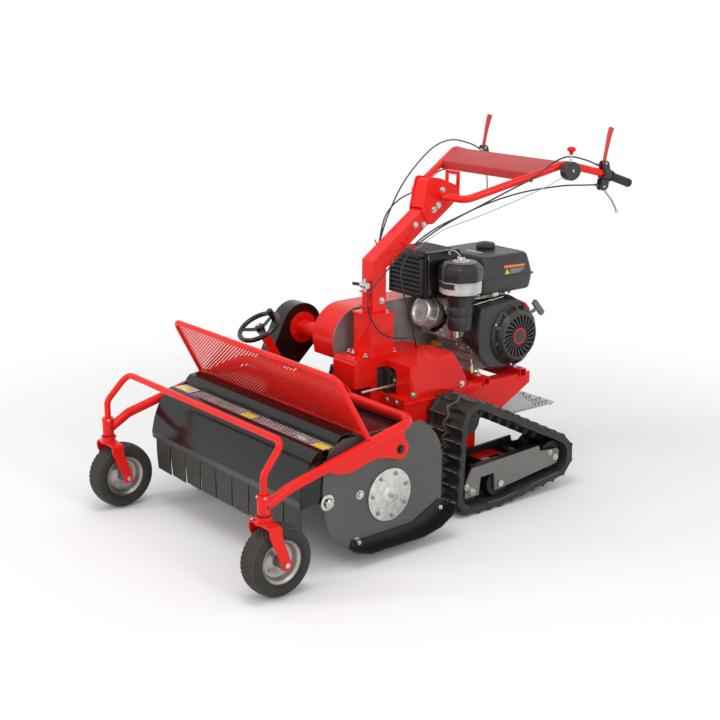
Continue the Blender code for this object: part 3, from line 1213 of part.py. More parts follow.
def brake_lever(side, sign, pivot):
    x = sign * CLAMP.x
    hub = side_plate("hub", [arc(BRAKE_PIN, 0.0088, 0, 345, 23), arc(BRAKE_PIN, 0.0038, 0, 330, 11)],
                     x - 0.005, x + 0.005)
    path = [(x, BRAKE_PIN[0] + 0.006, BRAKE_PIN[1] - 0.003), (sign * 0.3115, 0.792, 1.066),
            (sign * 0.324, 0.812, 1.038),
            (sign * 0.332, 0.824, 1.010), (sign * 0.336, 0.828, 0.996)]
    arm = as_mesh(tube("arm", bent(path, 0.030, 1), 0.0042, 2))
    ball = rod("ball", (sign * 0.336, 0.827, 1.000), (sign * 0.3365, 0.829, 0.990), 0.0075, 12)
    keep(weld(hub, arm, ball), "brake_lever_" + side, STEEL, pivot)


THROTTLE_Y = 0.595
THROTTLE_Z = 1.158
THROTTLE_INNER_X = 0.3025


def throttle_box(pivot):
    """Oval box on the left tube, slotted for its lever."""
    ellipse = [(THROTTLE_Y + 0.040 * math.cos(a), THROTTLE_Z + 0.034 * math.sin(a))
               for a in [2 * math.pi * step / 20 for step in range(20)]]
    body = side_plate("box", [ellipse], THROTTLE_INNER_X, THROTTLE_INNER_X + 0.028)
    bevel = body.modifiers.new("edges", "BEVEL")
    bevel.width = 0.005
    bevel.segments = 2
    middle = THROTTLE_INNER_X + 0.014
    slot = box("slot", (middle - 0.0045, THROTTLE_Y - 0.022, THROTTLE_Z - 0.012),
               (middle + 0.0045, THROTTLE_Y + 0.022, THROTTLE_Z + 0.05))
    pin = rod("pin", (middle - 0.006, THROTTLE_Y, THROTTLE_Z), (middle + 0.006, THROTTLE_Y, THROTTLE_Z),
              0.003, 12)
    keep(weld(cut(body, slot), pin), "throttle_box", BLACK, pivot)


def throttle_lever(pivot):
    middle = THROTTLE_INNER_X + 0.014
    hub = side_plate("hub", [arc((THROTTLE_Y, THROTTLE_Z), 0.010, 0, 345, 23),
                             arc((THROTTLE_Y, THROTTLE_Z), 0.0033, 0, 330, 11)], middle - 0.004,
                             middle + 0.004)
    stem = rod("stem", (middle, THROTTLE_Y, THROTTLE_Z + 0.006), (middle, THROTTLE_Y, THROTTLE_Z + 0.062),
               0.003, 12)
    base = THROTTLE_Z + 0.058
    profile = [(0, base), (0.007, base), (0.008, base + 0.010), (0.0155, base + 0.014),
               (0.0165, base + 0.020),
               (0.013, base + 0.025), (0.006, base + 0.028), (0, base + 0.028)]
    knob = turned("knob", profile, (middle, THROTTLE_Y, 0), (0, 0, 1), 14)
    keep(weld(hub, stem, knob), "throttle_lever", RED, pivot)


def cable(name, routes, pivot, radius=0.0028):
    """Control cables that start or end in one bundle."""
    runs = [as_mesh(tube("cable", route, radius, 2)) for route in routes]
    keep(weld(*runs) if len(runs) > 1 else runs[0], name, RUBBER, pivot)


column_base()
swivel = axis_point("column_axis", (0, COLUMN_Y, COLUMN_BASE_TOP))
upper_column(swivel)
tilt = axis_point("tilt_axis", TILT, swivel)
handlebar(tilt)
for side, sign in SIDES:
    grip(side, sign, tilt)
    control_clamp(side, sign, tilt)
    clutch_lever(side, sign, axis_point("clutch_axis_" + side, (sign * CLAMP.x, *CLUTCH_PIN), tilt))
    brake_lever(side, sign, axis_point("brake_axis_" + side, (sign * CLAMP.x, *BRAKE_PIN), tilt))
throttle_box(tilt)
throttle_lever(axis_point("throttle_axis", (THROTTLE_INNER_X + 0.014, THROTTLE_Y, THROTTLE_Z), tilt))

LEFT_HOOK = (0.049, 0.094, 0.902)
RIGHT_HOOK = (-0.047, 0.022, 0.902)
cable("cables_left", [
    [(0.302, 0.7604, 1.162), (0.300, 0.690, 1.188), (0.297, 0.604, 1.206), (0.290, 0.537, 1.190),
     (0.270, 0.466, 1.143),
     (0.200, 0.391, 1.086), (0.130, 0.292, 1.022), (0.090, 0.187, 0.975), (0.060, 0.122, 0.930), LEFT_HOOK],
    [(0.302, 0.7540, 1.094), (0.308, 0.680, 1.100), (0.300, 0.563, 1.106), (0.240, 0.425, 1.087),
     (0.160, 0.310, 1.040),
     (0.100, 0.201, 0.978), (0.063, 0.126, 0.924), LEFT_HOOK],
], tilt)
cable("cables_right", [
    [(-0.302, 0.7604, 1.162), (-0.305, 0.692, 1.194), (-0.290, 0.577, 1.215), (-0.220, 0.412, 1.195),
     (-0.120, 0.204, 1.111), (-0.060, 0.075, 1.005), RIGHT_HOOK],
    [(-0.302, 0.7540, 1.094), (-0.308, 0.668, 1.098), (-0.270, 0.510, 1.105), (-0.200, 0.356, 1.062),
     (-0.120, 0.181, 1.045), (-0.068, 0.069, 1.000), RIGHT_HOOK],
], tilt)
cable("cables_lower", [
    [(0.048, 0.090, 0.893), (0.050, 0.058, 0.856), (0.055, 0.040, 0.813), (0.066, 0.046, 0.742),
     (0.066, 0.078, 0.654),
     (0.052, 0.120, BOX_TOP + 0.0016)],
    [(0.048, 0.090, 0.893), (0.060, 0.030, 0.880), (0.062, -0.046, 0.825), (0.060, -0.110, 0.758),
     (0.066, -0.100, 0.674), (0.078, -0.050, 0.615), (0.092, 0.033, 0.594), (0.112, 0.099, 0.612),
     (0.122, 0.154, 0.630), (0.1087, 0.2107, 0.640)],
], swivel)


# Engine

def slab(name, low, high, top_inset, edge):
    """Block with sloping sides and rounded edges."""
    form = bmesh.new()
    (x0, y0, z0), (x1, y1, z1) = low, high
    left, right, front, rear = top_inset
    corners = [(x0, y0, z0), (x1, y0, z0), (x1, y1, z0), (x0, y1, z0),
               (x0 + left, y0 + front, z1), (x1 - right, y0 + front, z1), (x1 - right, y1 - rear, z1),
               (x0 + left, y1 - rear, z1)]
    verts = [form.verts.new(corner) for corner in corners]
    for face in ((0, 3, 2, 1), (4, 5, 6, 7), (0, 1, 5, 4), (1, 2, 6, 5), (2, 3, 7, 6), (3, 0, 4, 7)):
        form.faces.new([verts[index] for index in face])
    mesh = bpy.data.meshes.new(name)
    form.to_mesh(mesh)
    form.free()
    solid = mesh_object(name, mesh)
    bevel = solid.modifiers.new("edges", "BEVEL")
    bevel.width = edge
    bevel.segments = 2
    return solid


def engine_block():
    """Crankcase, inclined cylinder with its head, rocker cover, carburettor and tank posts."""
    base = RAIL_TOP + GAP
    case = side_plate("case", [[(0.335, base), (0.610, base), (0.610, 0.470), (0.600, 0.600), (0.560, 0.640),
                                (0.420, 0.640), (0.360, 0.560), (0.345, 0.470)]], ENGINE_FACE_X,
                                SHROUD_X - GAP)
    cylinder = side_plate("cylinder", [[(0.380, 0.500), (0.245, 0.560), (0.272, 0.692), (0.430, 0.660)]],
                          -0.070, 0.050)
    fins = [side_plate("fin", [[(0.268 + shift, 0.546 - shift * 0.25), (0.274 + shift, 0.544 - shift * 0.25),
                                (0.306 + shift, 0.691 - shift * 0.2), (0.300 + shift, 0.693 - shift * 0.2)]],
                       -0.086, 0.058) for shift in (0.0, 0.020, 0.040, 0.060)]
    outward = Vector((0, -0.96, 0.28)).normalized()
    head_at = Vector((0, 0.262, 0.618))
    profile = [(0, 0.075), (0.030, 0.075), (0.046, 0.066), (0.050, 0.046), (0.050, 0.016), (0.058, 0.014),
               (0.058, -0.01),
               (0, -0.01)]
    rocker = turned("rocker", profile, head_at + outward * 0.004, outward, 8)
    carburettor = box("carburettor", (0.046, 0.262, 0.560), (SHROUD_X - GAP, 0.318, 0.5997))
    posts = [box("post", (x - 0.012, 0.430, 0.630), (x + 0.012, 0.520, TANK_BOTTOM - GAP))
             for x in (-0.060, 0.060)]
    flange = box("flange", (-0.062, 0.290, 0.650), (-0.030, 0.330, 0.700 - GAP))
    plug = rod("plug", (-0.055, 0.358, 0.503), (-0.055, 0.324, 0.512), 0.012, 12)
    drain = rod("drain", (0.075, 0.345, 0.432), (0.075, 0.310, 0.432), 0.007, 12)
    shaft = rod("shaft", (ENGINE_FACE_X + 0.002, CRANK_Y, CRANK_Z), (COVER_FAR_X + 0.022, CRANK_Y, CRANK_Z),
                0.0125, 20)
    pulley = rod("pulley", (COVER_FAR_X + 0.030, CRANK_Y, CRANK_Z), (COVER_NEAR_X - 0.040, CRANK_Y, CRANK_Z),
                 0.052, 16)
    keep(weld(case, cylinder, *fins, rocker, carburettor, *posts, flange, plug, drain, shaft, pulley),
         "engine_block", CASTING)


def fan_shroud():
    """Shroud over the flywheel with the round recoil cover."""
    outline = [(0.336, 0.665), (0.350, 0.688), (0.520, 0.690), (0.575, 0.655), (0.602, 0.600), (0.605, 0.520),
               (0.585, 0.460), (0.545, 0.430), (0.450, 0.426), (0.415, 0.436), (0.298, 0.548), (0.302, 0.582),
               (0.338, 0.600)]
    body = side_plate("shroud", [outline], SHROUD_X, SHROUD_FACE_X)
    bevel = body.modifiers.new("edges", "BEVEL")
    bevel.width = 0.010
    bevel.segments = 2
    bevel.limit_method = "ANGLE"
    bevel.angle_limit = math.radians(50)
    depth = RECOIL_X - SHROUD_FACE_X
    profile = [(0, depth), (0.070, depth), (0.084, depth - 0.006), (0.094, 0.006), (0.112, 0.002),
               (0.114, -0.012), (0, -0.012)]
    dome = turned("recoil", profile, (SHROUD_FACE_X, CRANK_Y, CRANK_Z), (1, 0, 0), 24)
    spout = rod("spout", (0.188, 0.530, 0.618), (0.188, 0.5448, 0.6236), 0.009, 14)
    bore = rod("bore", (0.188, 0.536, 0.6203), (0.188, 0.56, 0.6293), 0.0035, 14)
    keep(cut(weld(body, dome, spout), bore), "fan_shroud", BLACK)


def recoil_handle(pivot):
    """T handle with the end of its rope."""
    pull = Vector((0, 0.937, 0.350)).normalized()
    start = Vector((0.188, 0.538, 0.6210))
    stem = rod("stem", start, start + pull * 0.050, 0.0028, 12)
    centre = start + pull * 0.056
    bar = rod("bar", centre - Vector((0, -0.35, 0.937)) * 0.030, centre + Vector((0, -0.35, 0.937)) * 0.030,
              0.0085, 14)
    keep(weld(bar, stem), "recoil_handle", BLACK, pivot)


def fuel_tank():
    low = slab("low", (TANK_FAR_X, TANK_FRONT_Y, TANK_BOTTOM),
               (TANK_NEAR_X - 0.008, TANK_REAR_Y - 0.008, TANK_SEAM + 0.002),
               (-0.004, -0.004, -0.004, -0.004), 0.012)
    seam = slab("seam", (TANK_FAR_X - 0.008, TANK_FRONT_Y - 0.006, TANK_SEAM - 0.0025),
                (TANK_NEAR_X, TANK_REAR_Y, TANK_SEAM + 0.0025), (0, 0, 0, 0), 0.001)
    top = slab("top", (TANK_FAR_X, TANK_FRONT_Y, TANK_SEAM - 0.002),
               (TANK_NEAR_X - 0.008, TANK_REAR_Y - 0.008, TANK_TOP - 0.006),
               (0.010, 0.014, 0.010, 0.030), 0.014)
    neck = rod("neck", (CAP_X, CAP_Y, TANK_TOP - 0.020), (CAP_X, CAP_Y, TANK_TOP), 0.032, 24)
    keep(weld(seam, low, top, neck), "fuel_tank", BLACK)


def fuel_cap(pivot):
    profile = [(0, 0.025), (0.022, 0.025), (0.032, 0.022), (0.036, 0.016), (0.036, 0.004), (0.033, GAP),
               (0, GAP)]
    keep(turned("cap", profile, (CAP_X, CAP_Y, TANK_TOP), (0, 0, 1), 20), "fuel_cap", BLACK, pivot)


def muffler_guard():
    """Louvred guard over the muffler, on the exhaust flange of the head."""
    body = slab("guard", (-0.160, 0.165, 0.700), (0.036, 0.340, 0.870), (0.012, 0.006, 0.012, 0.006), 0.010)
    slots = [box("slot", (-0.150, 0.10, z), (-0.060, 0.175 + (z - 0.70) * 0.08, z + 0.008))
             for z in (0.725, 0.745, 0.765, 0.785, 0.805, 0.825)]
    keep(cut(body, *slots), "muffler_guard", BLACK)


def air_cleaner():
    """Tapered lower body, a band round the filter and an eight-sided lid held by a wing nut."""
    profile = [(0, AIR_BAND_Z), (0.060, AIR_BAND_Z), (0.050, AIR_BAND_Z - 0.012), (0.045, AIR_BAND_Z - 0.060),
               (0.045, 0.600), (0, 0.600)]
    lower = turned("lower", profile, (AIR_X, AIR_Y, 0), (0, 0, 1), 20)
    band = AIR_RADIUS - 0.004
    lid = [(0, AIR_TOP_Z), (0.055, AIR_TOP_Z), (0.068, AIR_TOP_Z - 0.006),
           (AIR_RADIUS - 0.001, AIR_TOP_Z - 0.022),
           (AIR_RADIUS, AIR_LID_Z), (band, AIR_LID_Z - 0.001), (band - 0.002, AIR_BAND_Z + 0.001),
           (band - 0.006, AIR_BAND_Z - 0.003), (0, AIR_BAND_Z - 0.003)]
    upper = turned("upper", lid, (AIR_X, AIR_Y, 0), (0, 0, 1), 8)
    disc = rod("disc", (AIR_X, AIR_Y, AIR_TOP_Z - 0.002), (AIR_X, AIR_Y, AIR_TOP_Z + 0.005), 0.030, 16)
    nut = rod("nut", (AIR_X, AIR_Y, AIR_TOP_Z + 0.004), (AIR_X, AIR_Y, AIR_TOP_Z + 0.016), 0.006, 6)
    keep(weld(lower, upper, disc, nut), "air_cleaner", BLACK)


engine_block()
fan_shroud()
recoil_handle(axis_point("recoil_axis", (0.188, 0.538, 0.6210)))
fuel_tank()
fuel_cap(axis_point("fuel_cap_axis", (CAP_X, CAP_Y, TANK_TOP)))
muffler_guard()
air_cleaner()


# Height adjuster

ADJUSTER = Vector((0.075 - DECK_HALF, -0.270, 0.590))
SCREW = Vector((0, -0.5, 0.866)).normalized()


def height_adjuster():
    """Bracket on the deck with the sleeve for the handwheel's screw."""
    rise = 0.0021
    outline = [(-0.238, 0.4278 + rise), (-0.196, 0.419 + rise), (-0.168, 0.4005 + rise), (-0.184, 0.470),
               (-0.208, 0.512),
               (-0.232, 0.556), (-0.256, 0.545), (-0.240, 0.500)]
    plate = side_plate("plate", [outline], ADJUSTER.x + 0.0105, ADJUSTER.x + 0.0165)
    ring = [(0.0083, -0.085), (0.014, -0.085), (0.014, -0.0225), (0.0083, -0.0225)]
    sleeve = turned("sleeve", ring[::-1], ADJUSTER, SCREW, 16)
    foot = [(-0.238, 0.4278 + rise), (-0.196, 0.419 + rise), (-0.170, 0.402 + rise), (-0.170, 0.407 + rise),
            (-0.196, 0.424 + rise), (-0.238, 0.4325 + rise)]
    base = side_plate("base", [foot], ADJUSTER.x + 0.011, ADJUSTER.x + 0.060)
    keep(weld(sleeve, plate, base), "height_adjuster", RED)


def handwheel(pivot):
    """Rim, three spokes, hub and an upright crank grip."""
    centre = ADJUSTER
    ring = [(0.078 + 0.0075 * math.cos(a), 0.0075 * math.sin(a))
            for a in [2 * math.pi * step / 8 for step in range(8)]]
    rim = turned("rim", ring, centre, SCREW, 24)
    side = Vector((1, 0, 0))
    up = SCREW.cross(side)
    spokes = []
    for index in range(3):
        angle = math.radians(90 + 120 * index)
        reach = side * math.cos(angle) + up * math.sin(angle)
        spokes.append(rod("spoke", centre - SCREW * 0.008, centre + reach * 0.078, 0.0065, 6))
    hub = rod("hub", centre - SCREW * 0.022, centre + SCREW * 0.006, 0.017, 12)
    crank = side * math.cos(math.radians(30)) + up * math.sin(math.radians(30))
    base = centre + crank * 0.074
    post = rod("post", base, base + SCREW * 0.020, 0.004, 6)
    knob = rod("knob", base + SCREW * 0.016, base + SCREW * 0.068, 0.009, 8, 0.012)
    screw = rod("screw", centre - SCREW * 0.075, centre, 0.008, 12)
    keep(weld(rim, hub, screw, *spokes, post, knob), "handwheel", BLACK, pivot)


height_adjuster()
handwheel(axis_point("handwheel_axis", ADJUSTER))
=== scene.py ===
import math
import random

import bmesh
import bpy
from mathutils import Matrix, Vector


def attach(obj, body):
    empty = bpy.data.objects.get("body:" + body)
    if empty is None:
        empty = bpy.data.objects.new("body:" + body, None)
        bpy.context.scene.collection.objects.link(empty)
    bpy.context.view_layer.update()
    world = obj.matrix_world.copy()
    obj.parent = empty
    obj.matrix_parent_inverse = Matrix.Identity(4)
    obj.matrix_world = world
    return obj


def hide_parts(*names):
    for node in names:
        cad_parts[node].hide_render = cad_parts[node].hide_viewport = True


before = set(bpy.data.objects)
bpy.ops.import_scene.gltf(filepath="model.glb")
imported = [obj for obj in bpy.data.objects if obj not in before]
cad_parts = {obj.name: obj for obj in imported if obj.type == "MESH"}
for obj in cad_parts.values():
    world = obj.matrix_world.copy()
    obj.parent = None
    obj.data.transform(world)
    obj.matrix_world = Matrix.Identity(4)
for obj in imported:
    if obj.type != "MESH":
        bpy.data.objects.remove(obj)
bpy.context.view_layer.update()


# Studio: a pale floor, an even white surround and three soft lamps, with the
# camera where the photographer stood, left of the machine's front and a
# little above the engine.

CAMERA_PLACE = Vector((3.5929, -3.0134, 1.7945))
CAMERA_TURN = math.radians(51.97)
CAMERA_RISE = math.radians(15.114)
CAMERA_ROLL = math.radians(0.062)


def placed(name, data):
    """Put an object with this data into the scene."""
    thing = bpy.data.objects.new(name, data)
    bpy.context.scene.collection.objects.link(thing)
    return thing


lens = bpy.data.cameras.new("camera")
lens.lens = 68.26
lens.sensor_width = 36.0
lens.shift_x = 0.033
lens.shift_y = -0.0109
lens.clip_end = 60.0
camera = placed("camera", lens)
back = Vector((math.sin(CAMERA_TURN) * math.cos(CAMERA_RISE),
               -math.cos(CAMERA_TURN) * math.cos(CAMERA_RISE), math.sin(CAMERA_RISE)))
level = Vector((math.cos(CAMERA_TURN), math.sin(CAMERA_TURN), 0))
upward = back.cross(level)
across = level * math.cos(CAMERA_ROLL) + upward * math.sin(CAMERA_ROLL)
upward = upward * math.cos(CAMERA_ROLL) - level * math.sin(CAMERA_ROLL)
aim = Matrix((across, upward, back)).transposed().to_4x4()
aim.translation = CAMERA_PLACE
camera.matrix_world = aim
bpy.context.scene.camera = camera
bpy.context.scene.view_settings.view_transform = "Standard"


class Mix:
    """One value inside a finish. Sums on it add Math nodes."""

    def __init__(self, tree, socket=None):
        self.tree = tree
        self.socket = socket

    def node(self, kind, settings=None, inputs=None, output=0):
        made = self.tree.nodes.new("ShaderNode" + kind)
        for setting, value in (settings or {}).items():
            if setting == "stops":
                ramp = made.color_ramp.elements
                for stop in range(len(value) - len(ramp)):
                    ramp.new(0.5)
                for stop, (place, colour) in zip(ramp, value):
                    stop.position = place
                    stop.color = (*colour, 1.0)
            else:
                setattr(made, setting, value)
        for name, value in (inputs or {}).items():
            if isinstance(value, Mix):
                self.tree.links.new(value.socket, made.inputs[name])
            else:
                made.inputs[name].default_value = value
        return Mix(self.tree, made.outputs[output])

    def sum(self, operation, first, second):
        return self.node("Math", {"operation": operation}, {0: first, 1: second})

    def __add__(self, other):
        return self.sum("ADD", self, other)

    def __mul__(self, other):
        return self.sum("MULTIPLY", self, other)

    def __gt__(self, other):
        return self.sum("GREATER_THAN", self, other)


def light_paths(tree):
    """Where the picture itself, a reflection or a clear plastic looks."""
    start = Mix(tree)
    seen = start.node("LightPath", output=0)
    mirrored = start.node("LightPath", output=3)
    through = start.node("LightPath", output=6)
    return start.sum("MAXIMUM", start.sum("MAXIMUM", seen, mirrored), through)


SURROUND_LEVEL = 0.72
surround = bpy.data.worlds.new("surround")
bpy.context.scene.world = surround
surround.use_nodes = True
surround_air = surround.node_tree.nodes["Background"]
surround_air.inputs["Color"].default_value = (1, 1, 1, 1)
strength = light_paths(surround.node_tree) * (1 - SURROUND_LEVEL) + SURROUND_LEVEL
surround.node_tree.links.new(strength.socket, surround_air.inputs["Strength"])


def rectangle(x0, y0, x1, y1):
    """Corners of a rectangle, in order round it."""
    return [(x0, y0), (x1, y0), (x1, y1), (x0, y1)]


FLOOR_HALF = 30.0
FLOOR_LEVEL = -0.0006
FADE_START = 1.3
FADE_END = 2.6
floor_mesh = bpy.data.meshes.new("studio_floor")
floor_mesh.from_pydata([(x, y, FLOOR_LEVEL)
                        for x, y in rectangle(-FLOOR_HALF, -FLOOR_HALF, FLOOR_HALF, FLOOR_HALF)],
                       [], [(0, 1, 2, 3)])
floor = placed("studio_floor", floor_mesh)
floor_paper = bpy.data.materials.new("floor_paper")
floor_paper.use_nodes = True
paper = floor_paper.node_tree.nodes["Principled BSDF"]
paper.inputs["Base Color"].default_value = (0.97, 0.97, 0.97, 1)
paper.inputs["Roughness"].default_value = 0.9
paper.inputs["Specular IOR Level"].default_value = 0.0
spot = Mix(floor_paper.node_tree)
distance = spot.node("VectorMath", {"operation": "LENGTH"}, {0: spot.node("TexCoord", output=3)}, output=1)
fade = spot.node("MapRange", {"interpolation_type": "SMOOTHSTEP"},
                 {"Value": distance, "From Min": FADE_START, "From Max": FADE_END})
white_glow = spot.node("Emission", {}, {"Strength": 1.0})
mixed = spot.node("MixShader", {}, {0: fade, 1: Mix(spot.tree, paper.outputs[0]), 2: white_glow})
spot.tree.links.new(mixed.socket, spot.tree.nodes["Material Output"].inputs["Surface"])
floor_mesh.materials.append(floor_paper)


def soft_lamp(name, place, target, width, height, power):
    lamp = bpy.data.lights.new(name, "AREA")
    lamp.shape = "RECTANGLE"
    lamp.size = width
    lamp.size_y = height
    lamp.energy = power
    lamp_object = placed(name, lamp)
    lamp_object.location = place
    lamp_object.rotation_mode = "QUATERNION"
    lamp_object.rotation_quaternion = (Vector(target) - Vector(place)).to_track_quat("-Z", "Y")


soft_lamp("overhead_lamp", (0.6, -0.9, 3.8), (0, 0, 0.4), 1.7, 1.1, 30)
soft_lamp("side_lamp", (4.4, -0.4, 2.6), (0, 0, 0.5), 0.9, 2.0, 34)
soft_lamp("front_lamp", (-1.6, -4.4, 2.4), (0, -0.2, 0.5), 0.9, 1.9, 40)


# Castor wheels: pneumatic tyres with a fine block tread on pressed and
# silvered steel rims. Each wheel turns on a bolt between the legs of its fork.

TYRE_RADIUS = 0.1145
RIM_EDGE = 0.069
CASTOR_X = 0.472
SWIVEL_Y = -0.845
WHEEL_Y = -0.803
TREAD_ROWS = 6
TREAD_BLOCKS = 44
SIDES = (("left", 1), ("right", -1))
NEEDLE = 0.00002


def new_finish(name, colour, roughness, metallic=0.0, coat=0.0, specular=0.5):
    """A finish with one colour all over, to which detail is added."""
    finish = bpy.data.materials.new(name)
    finish.use_nodes = True
    coating = finish.node_tree.nodes["Principled BSDF"]
    coating.inputs["Base Color"].default_value = (*colour, 1)
    coating.inputs["Roughness"].default_value = roughness
    coating.inputs["Metallic"].default_value = metallic
    coating.inputs["Coat Weight"].default_value = coat
    coating.inputs["Coat Roughness"].default_value = 0.08
    coating.inputs["Specular IOR Level"].default_value = specular
    return finish, coating, Mix(finish.node_tree)


def grain(start, scale, detail=4.0, rough=0.55, stretch=None):
    """Fine random grain, from 0 to 1, fixed to the piece."""
    place = start.node("TexCoord", output=3)
    if stretch:
        place = start.node("Mapping", {}, {0: place, "Scale": stretch})
    return start.node("TexNoise", {}, {"Vector": place, "Scale": scale, "Detail": detail,
                                       "Roughness": rough})


def tint(start, share, first, second):
    """A colour between two, by share."""
    return start.node("Mix", {"data_type": "RGBA"}, {0: share, 6: (*first, 1), 7: (*second, 1)}, output=2)


def link(value, coating, name):
    value.tree.links.new(value.socket, coating.inputs[name])


def press(start, coating, height, distance):
    """Raise the surface by a height from 0 to 1."""
    link(start.node("Bump", {}, {"Height": height, "Distance": distance, "Strength": 1.0}), coating, "Normal")


def ramp(start, value, low, high):
    """0 below low, 1 above high, smooth between them."""
    return start.node("MapRange", {"interpolation_type": "SMOOTHSTEP"},
                      {"Value": value, "From Min": low, "From Max": high})


def rubber_finish(name, colour, dust, roughness):
    """Black rubber, greyed by dust in soft patches."""
    finish, coating, start = new_finish(name, colour, roughness, specular=0.35)
    patches = ramp(start, grain(start, 9.0), 0.42, 0.72)
    fine = grain(start, 420.0, 2.0)
    link(tint(start, patches * 0.55 + fine * 0.2, colour, dust), coating, "Base Color")
    link(patches * 0.18 + (roughness - 0.08), coating, "Roughness")
    press(start, coating, fine, 0.00025)
    return finish


def steel_finish(name, colour, roughness, cloud=14.0, contrast=0.35, metallic=1.0):
    """Bare or plated steel, clouded and lightly scratched."""
    finish, coating, start = new_finish(name, colour, roughness, metallic)
    clouds = grain(start, cloud, 6.0)
    scratches = grain(start, 60.0, 3.0, stretch=(1.0, 14.0, 1.0))
    dark = tuple(part * (1 - contrast) for part in colour)
    link(tint(start, ramp(start, clouds, 0.35, 0.65), dark, colour), coating, "Base Color")
    link(clouds * 0.25 + scratches * 0.12 + (roughness - 0.18), coating, "Roughness")
    press(start, coating, scratches, 0.00008)
    return finish


tyre_rubber = rubber_finish("tyre_rubber", (0.021, 0.02, 0.018), (0.06, 0.055, 0.046), 0.72)
tread_dust = rubber_finish("tread_dust", (0.085, 0.075, 0.062), (0.125, 0.11, 0.092), 0.8)
rim_silver = steel_finish("rim_silver", (0.47, 0.45, 0.43), 0.38, contrast=0.18)
zinc_plate = steel_finish("zinc_plate", (0.66, 0.68, 0.64), 0.34, cloud=55.0, contrast=0.22)


def shaped(form, name, coats):
    """New piece from worked faces, with its coats of finish in order."""
    mesh = bpy.data.meshes.new(name)
    form.to_mesh(mesh)
    form.free()
    for coat in coats:
        mesh.materials.append(coat)
    return placed(name, mesh)


def round_edges(piece, width, angle, miter="MITER_SHARP"):
    """Small radius along every edge that is sharper than the angle."""
    rounding = piece.modifiers.new("edges", "BEVEL")
    rounding.width = width
    rounding.segments = 3
    rounding.limit_method = "ANGLE"
    rounding.angle_limit = math.radians(angle)
    rounding.miter_outer = miter
    rounding.harden_normals = True


def fitted(piece, body, stands_for, crease):
    """Smooth the piece up to its creases and fix it on its body."""
    piece.data.shade_smooth()
    piece.data.set_sharp_from_angle(angle=math.radians(crease))
    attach(piece, body)
    if stands_for:
        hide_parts(*stands_for)


def made(form, name, body, finish, slot, stands_for=(), crease=38, edge=0.0):
    """Turn worked metal, rubber or plastic into a piece that rides on its body."""
    bmesh.ops.recalc_face_normals(form, faces=form.faces)
    piece = shaped(form, name, finish if isinstance(finish, list) else [finish])
    if edge:
        round_edges(piece, edge, 35)
    fitted(piece, body, stands_for, crease)


def skin(form, rings, closed_ring=True, closed_run=False, caps=True):
    """Faces between rings of points, one ring after the other."""
    laid = [[form.verts.new(point) for point in ring] for ring in rings]
    count = len(laid[0])
    run = range(len(laid) if closed_run else len(laid) - 1)
    for index in run:
        here = laid[index]
        there = laid[(index + 1) % len(laid)]
        for step in range(count if closed_ring else count - 1):
            after = (step + 1) % count
            form.faces.new((here[step], here[after], there[after], there[step]))
    if caps and not closed_run and closed_ring:
        form.faces.new(laid[0][::-1])
        form.faces.new(laid[-1])
    return laid


def angles(count):
    """Evenly spaced angles of one whole turn."""
    return [2 * math.pi * step / count for step in range(count)]


def turn_about(form, profile, centre, axis, steps=48):
    """Turned form. The profile is (radius, height) pairs along the axis."""
    centre = Vector(centre)
    axis = Vector(axis).normalized()
    side = axis.orthogonal().normalized()
    other = axis.cross(side)
    rings = []
    for angle in angles(steps):
        reach = side * math.cos(angle) + other * math.sin(angle)
        rings.append([centre + reach * max(radius, NEEDLE) + axis * height for radius, height in profile])
    skin(form, rings, closed_ring=profile[0][0] > 0.0005, closed_run=True)


def tyre(side, sign):
    form = bmesh.new()
    section = [(RIM_EDGE, -0.0265), (0.0735, -0.0315), (0.079, -0.0378), (0.08, -0.0392), (0.0885, -0.0417),
               (0.0905, -0.0408), (0.0965, -0.0405), (0.1015, -0.0378), (0.103, -0.0355), (0.1068, -0.033)]
    shoulder = 0.0325
    row_width = 2 * shoulder / TREAD_ROWS

    def crown(across):
        return TYRE_RADIUS - 0.0002 - 0.0056 * (across / shoulder) ** 2

    around = TREAD_BLOCKS * 10
    rings = []
    for step, angle in enumerate(angles(around)):
        ring = list(section)
        for row in range(TREAD_ROWS):
            place = (step + 5 * (row % 2)) % 10
            chevron = 0.0016 * (abs(place - 5) / 2.5 - 1)
            for share, low in ((0.07, True), (0.17, False), (0.83, False), (0.93, True)):
                across = -shoulder + row_width * (row + share)
                depth = 0.0032 if low or place in (0, 1) else 0.0
                ring.append((crown(across) - depth, across + chevron))
        ring += [(radius, -across) for radius, across in section[::-1]]
        rings.append([(sign * CASTOR_X + across, WHEEL_Y + radius * math.cos(angle),
                       TYRE_RADIUS + radius * math.sin(angle)) for radius, across in ring])
    skin(form, rings, closed_ring=True, closed_run=True)
    for face in form.faces:
        middle = face.calc_center_median()
        across = middle.x - sign * CASTOR_X
        reach = math.hypot(middle.y - WHEEL_Y, middle.z - TYRE_RADIUS)
        face.material_index = int(abs(across) < shoulder and reach < crown(across) - 0.0012)
    made(form, "tyre_" + side, "castor_wheel_" + side, [tyre_rubber, tread_dust], "tyre",
         ["castor_tyre_" + side])


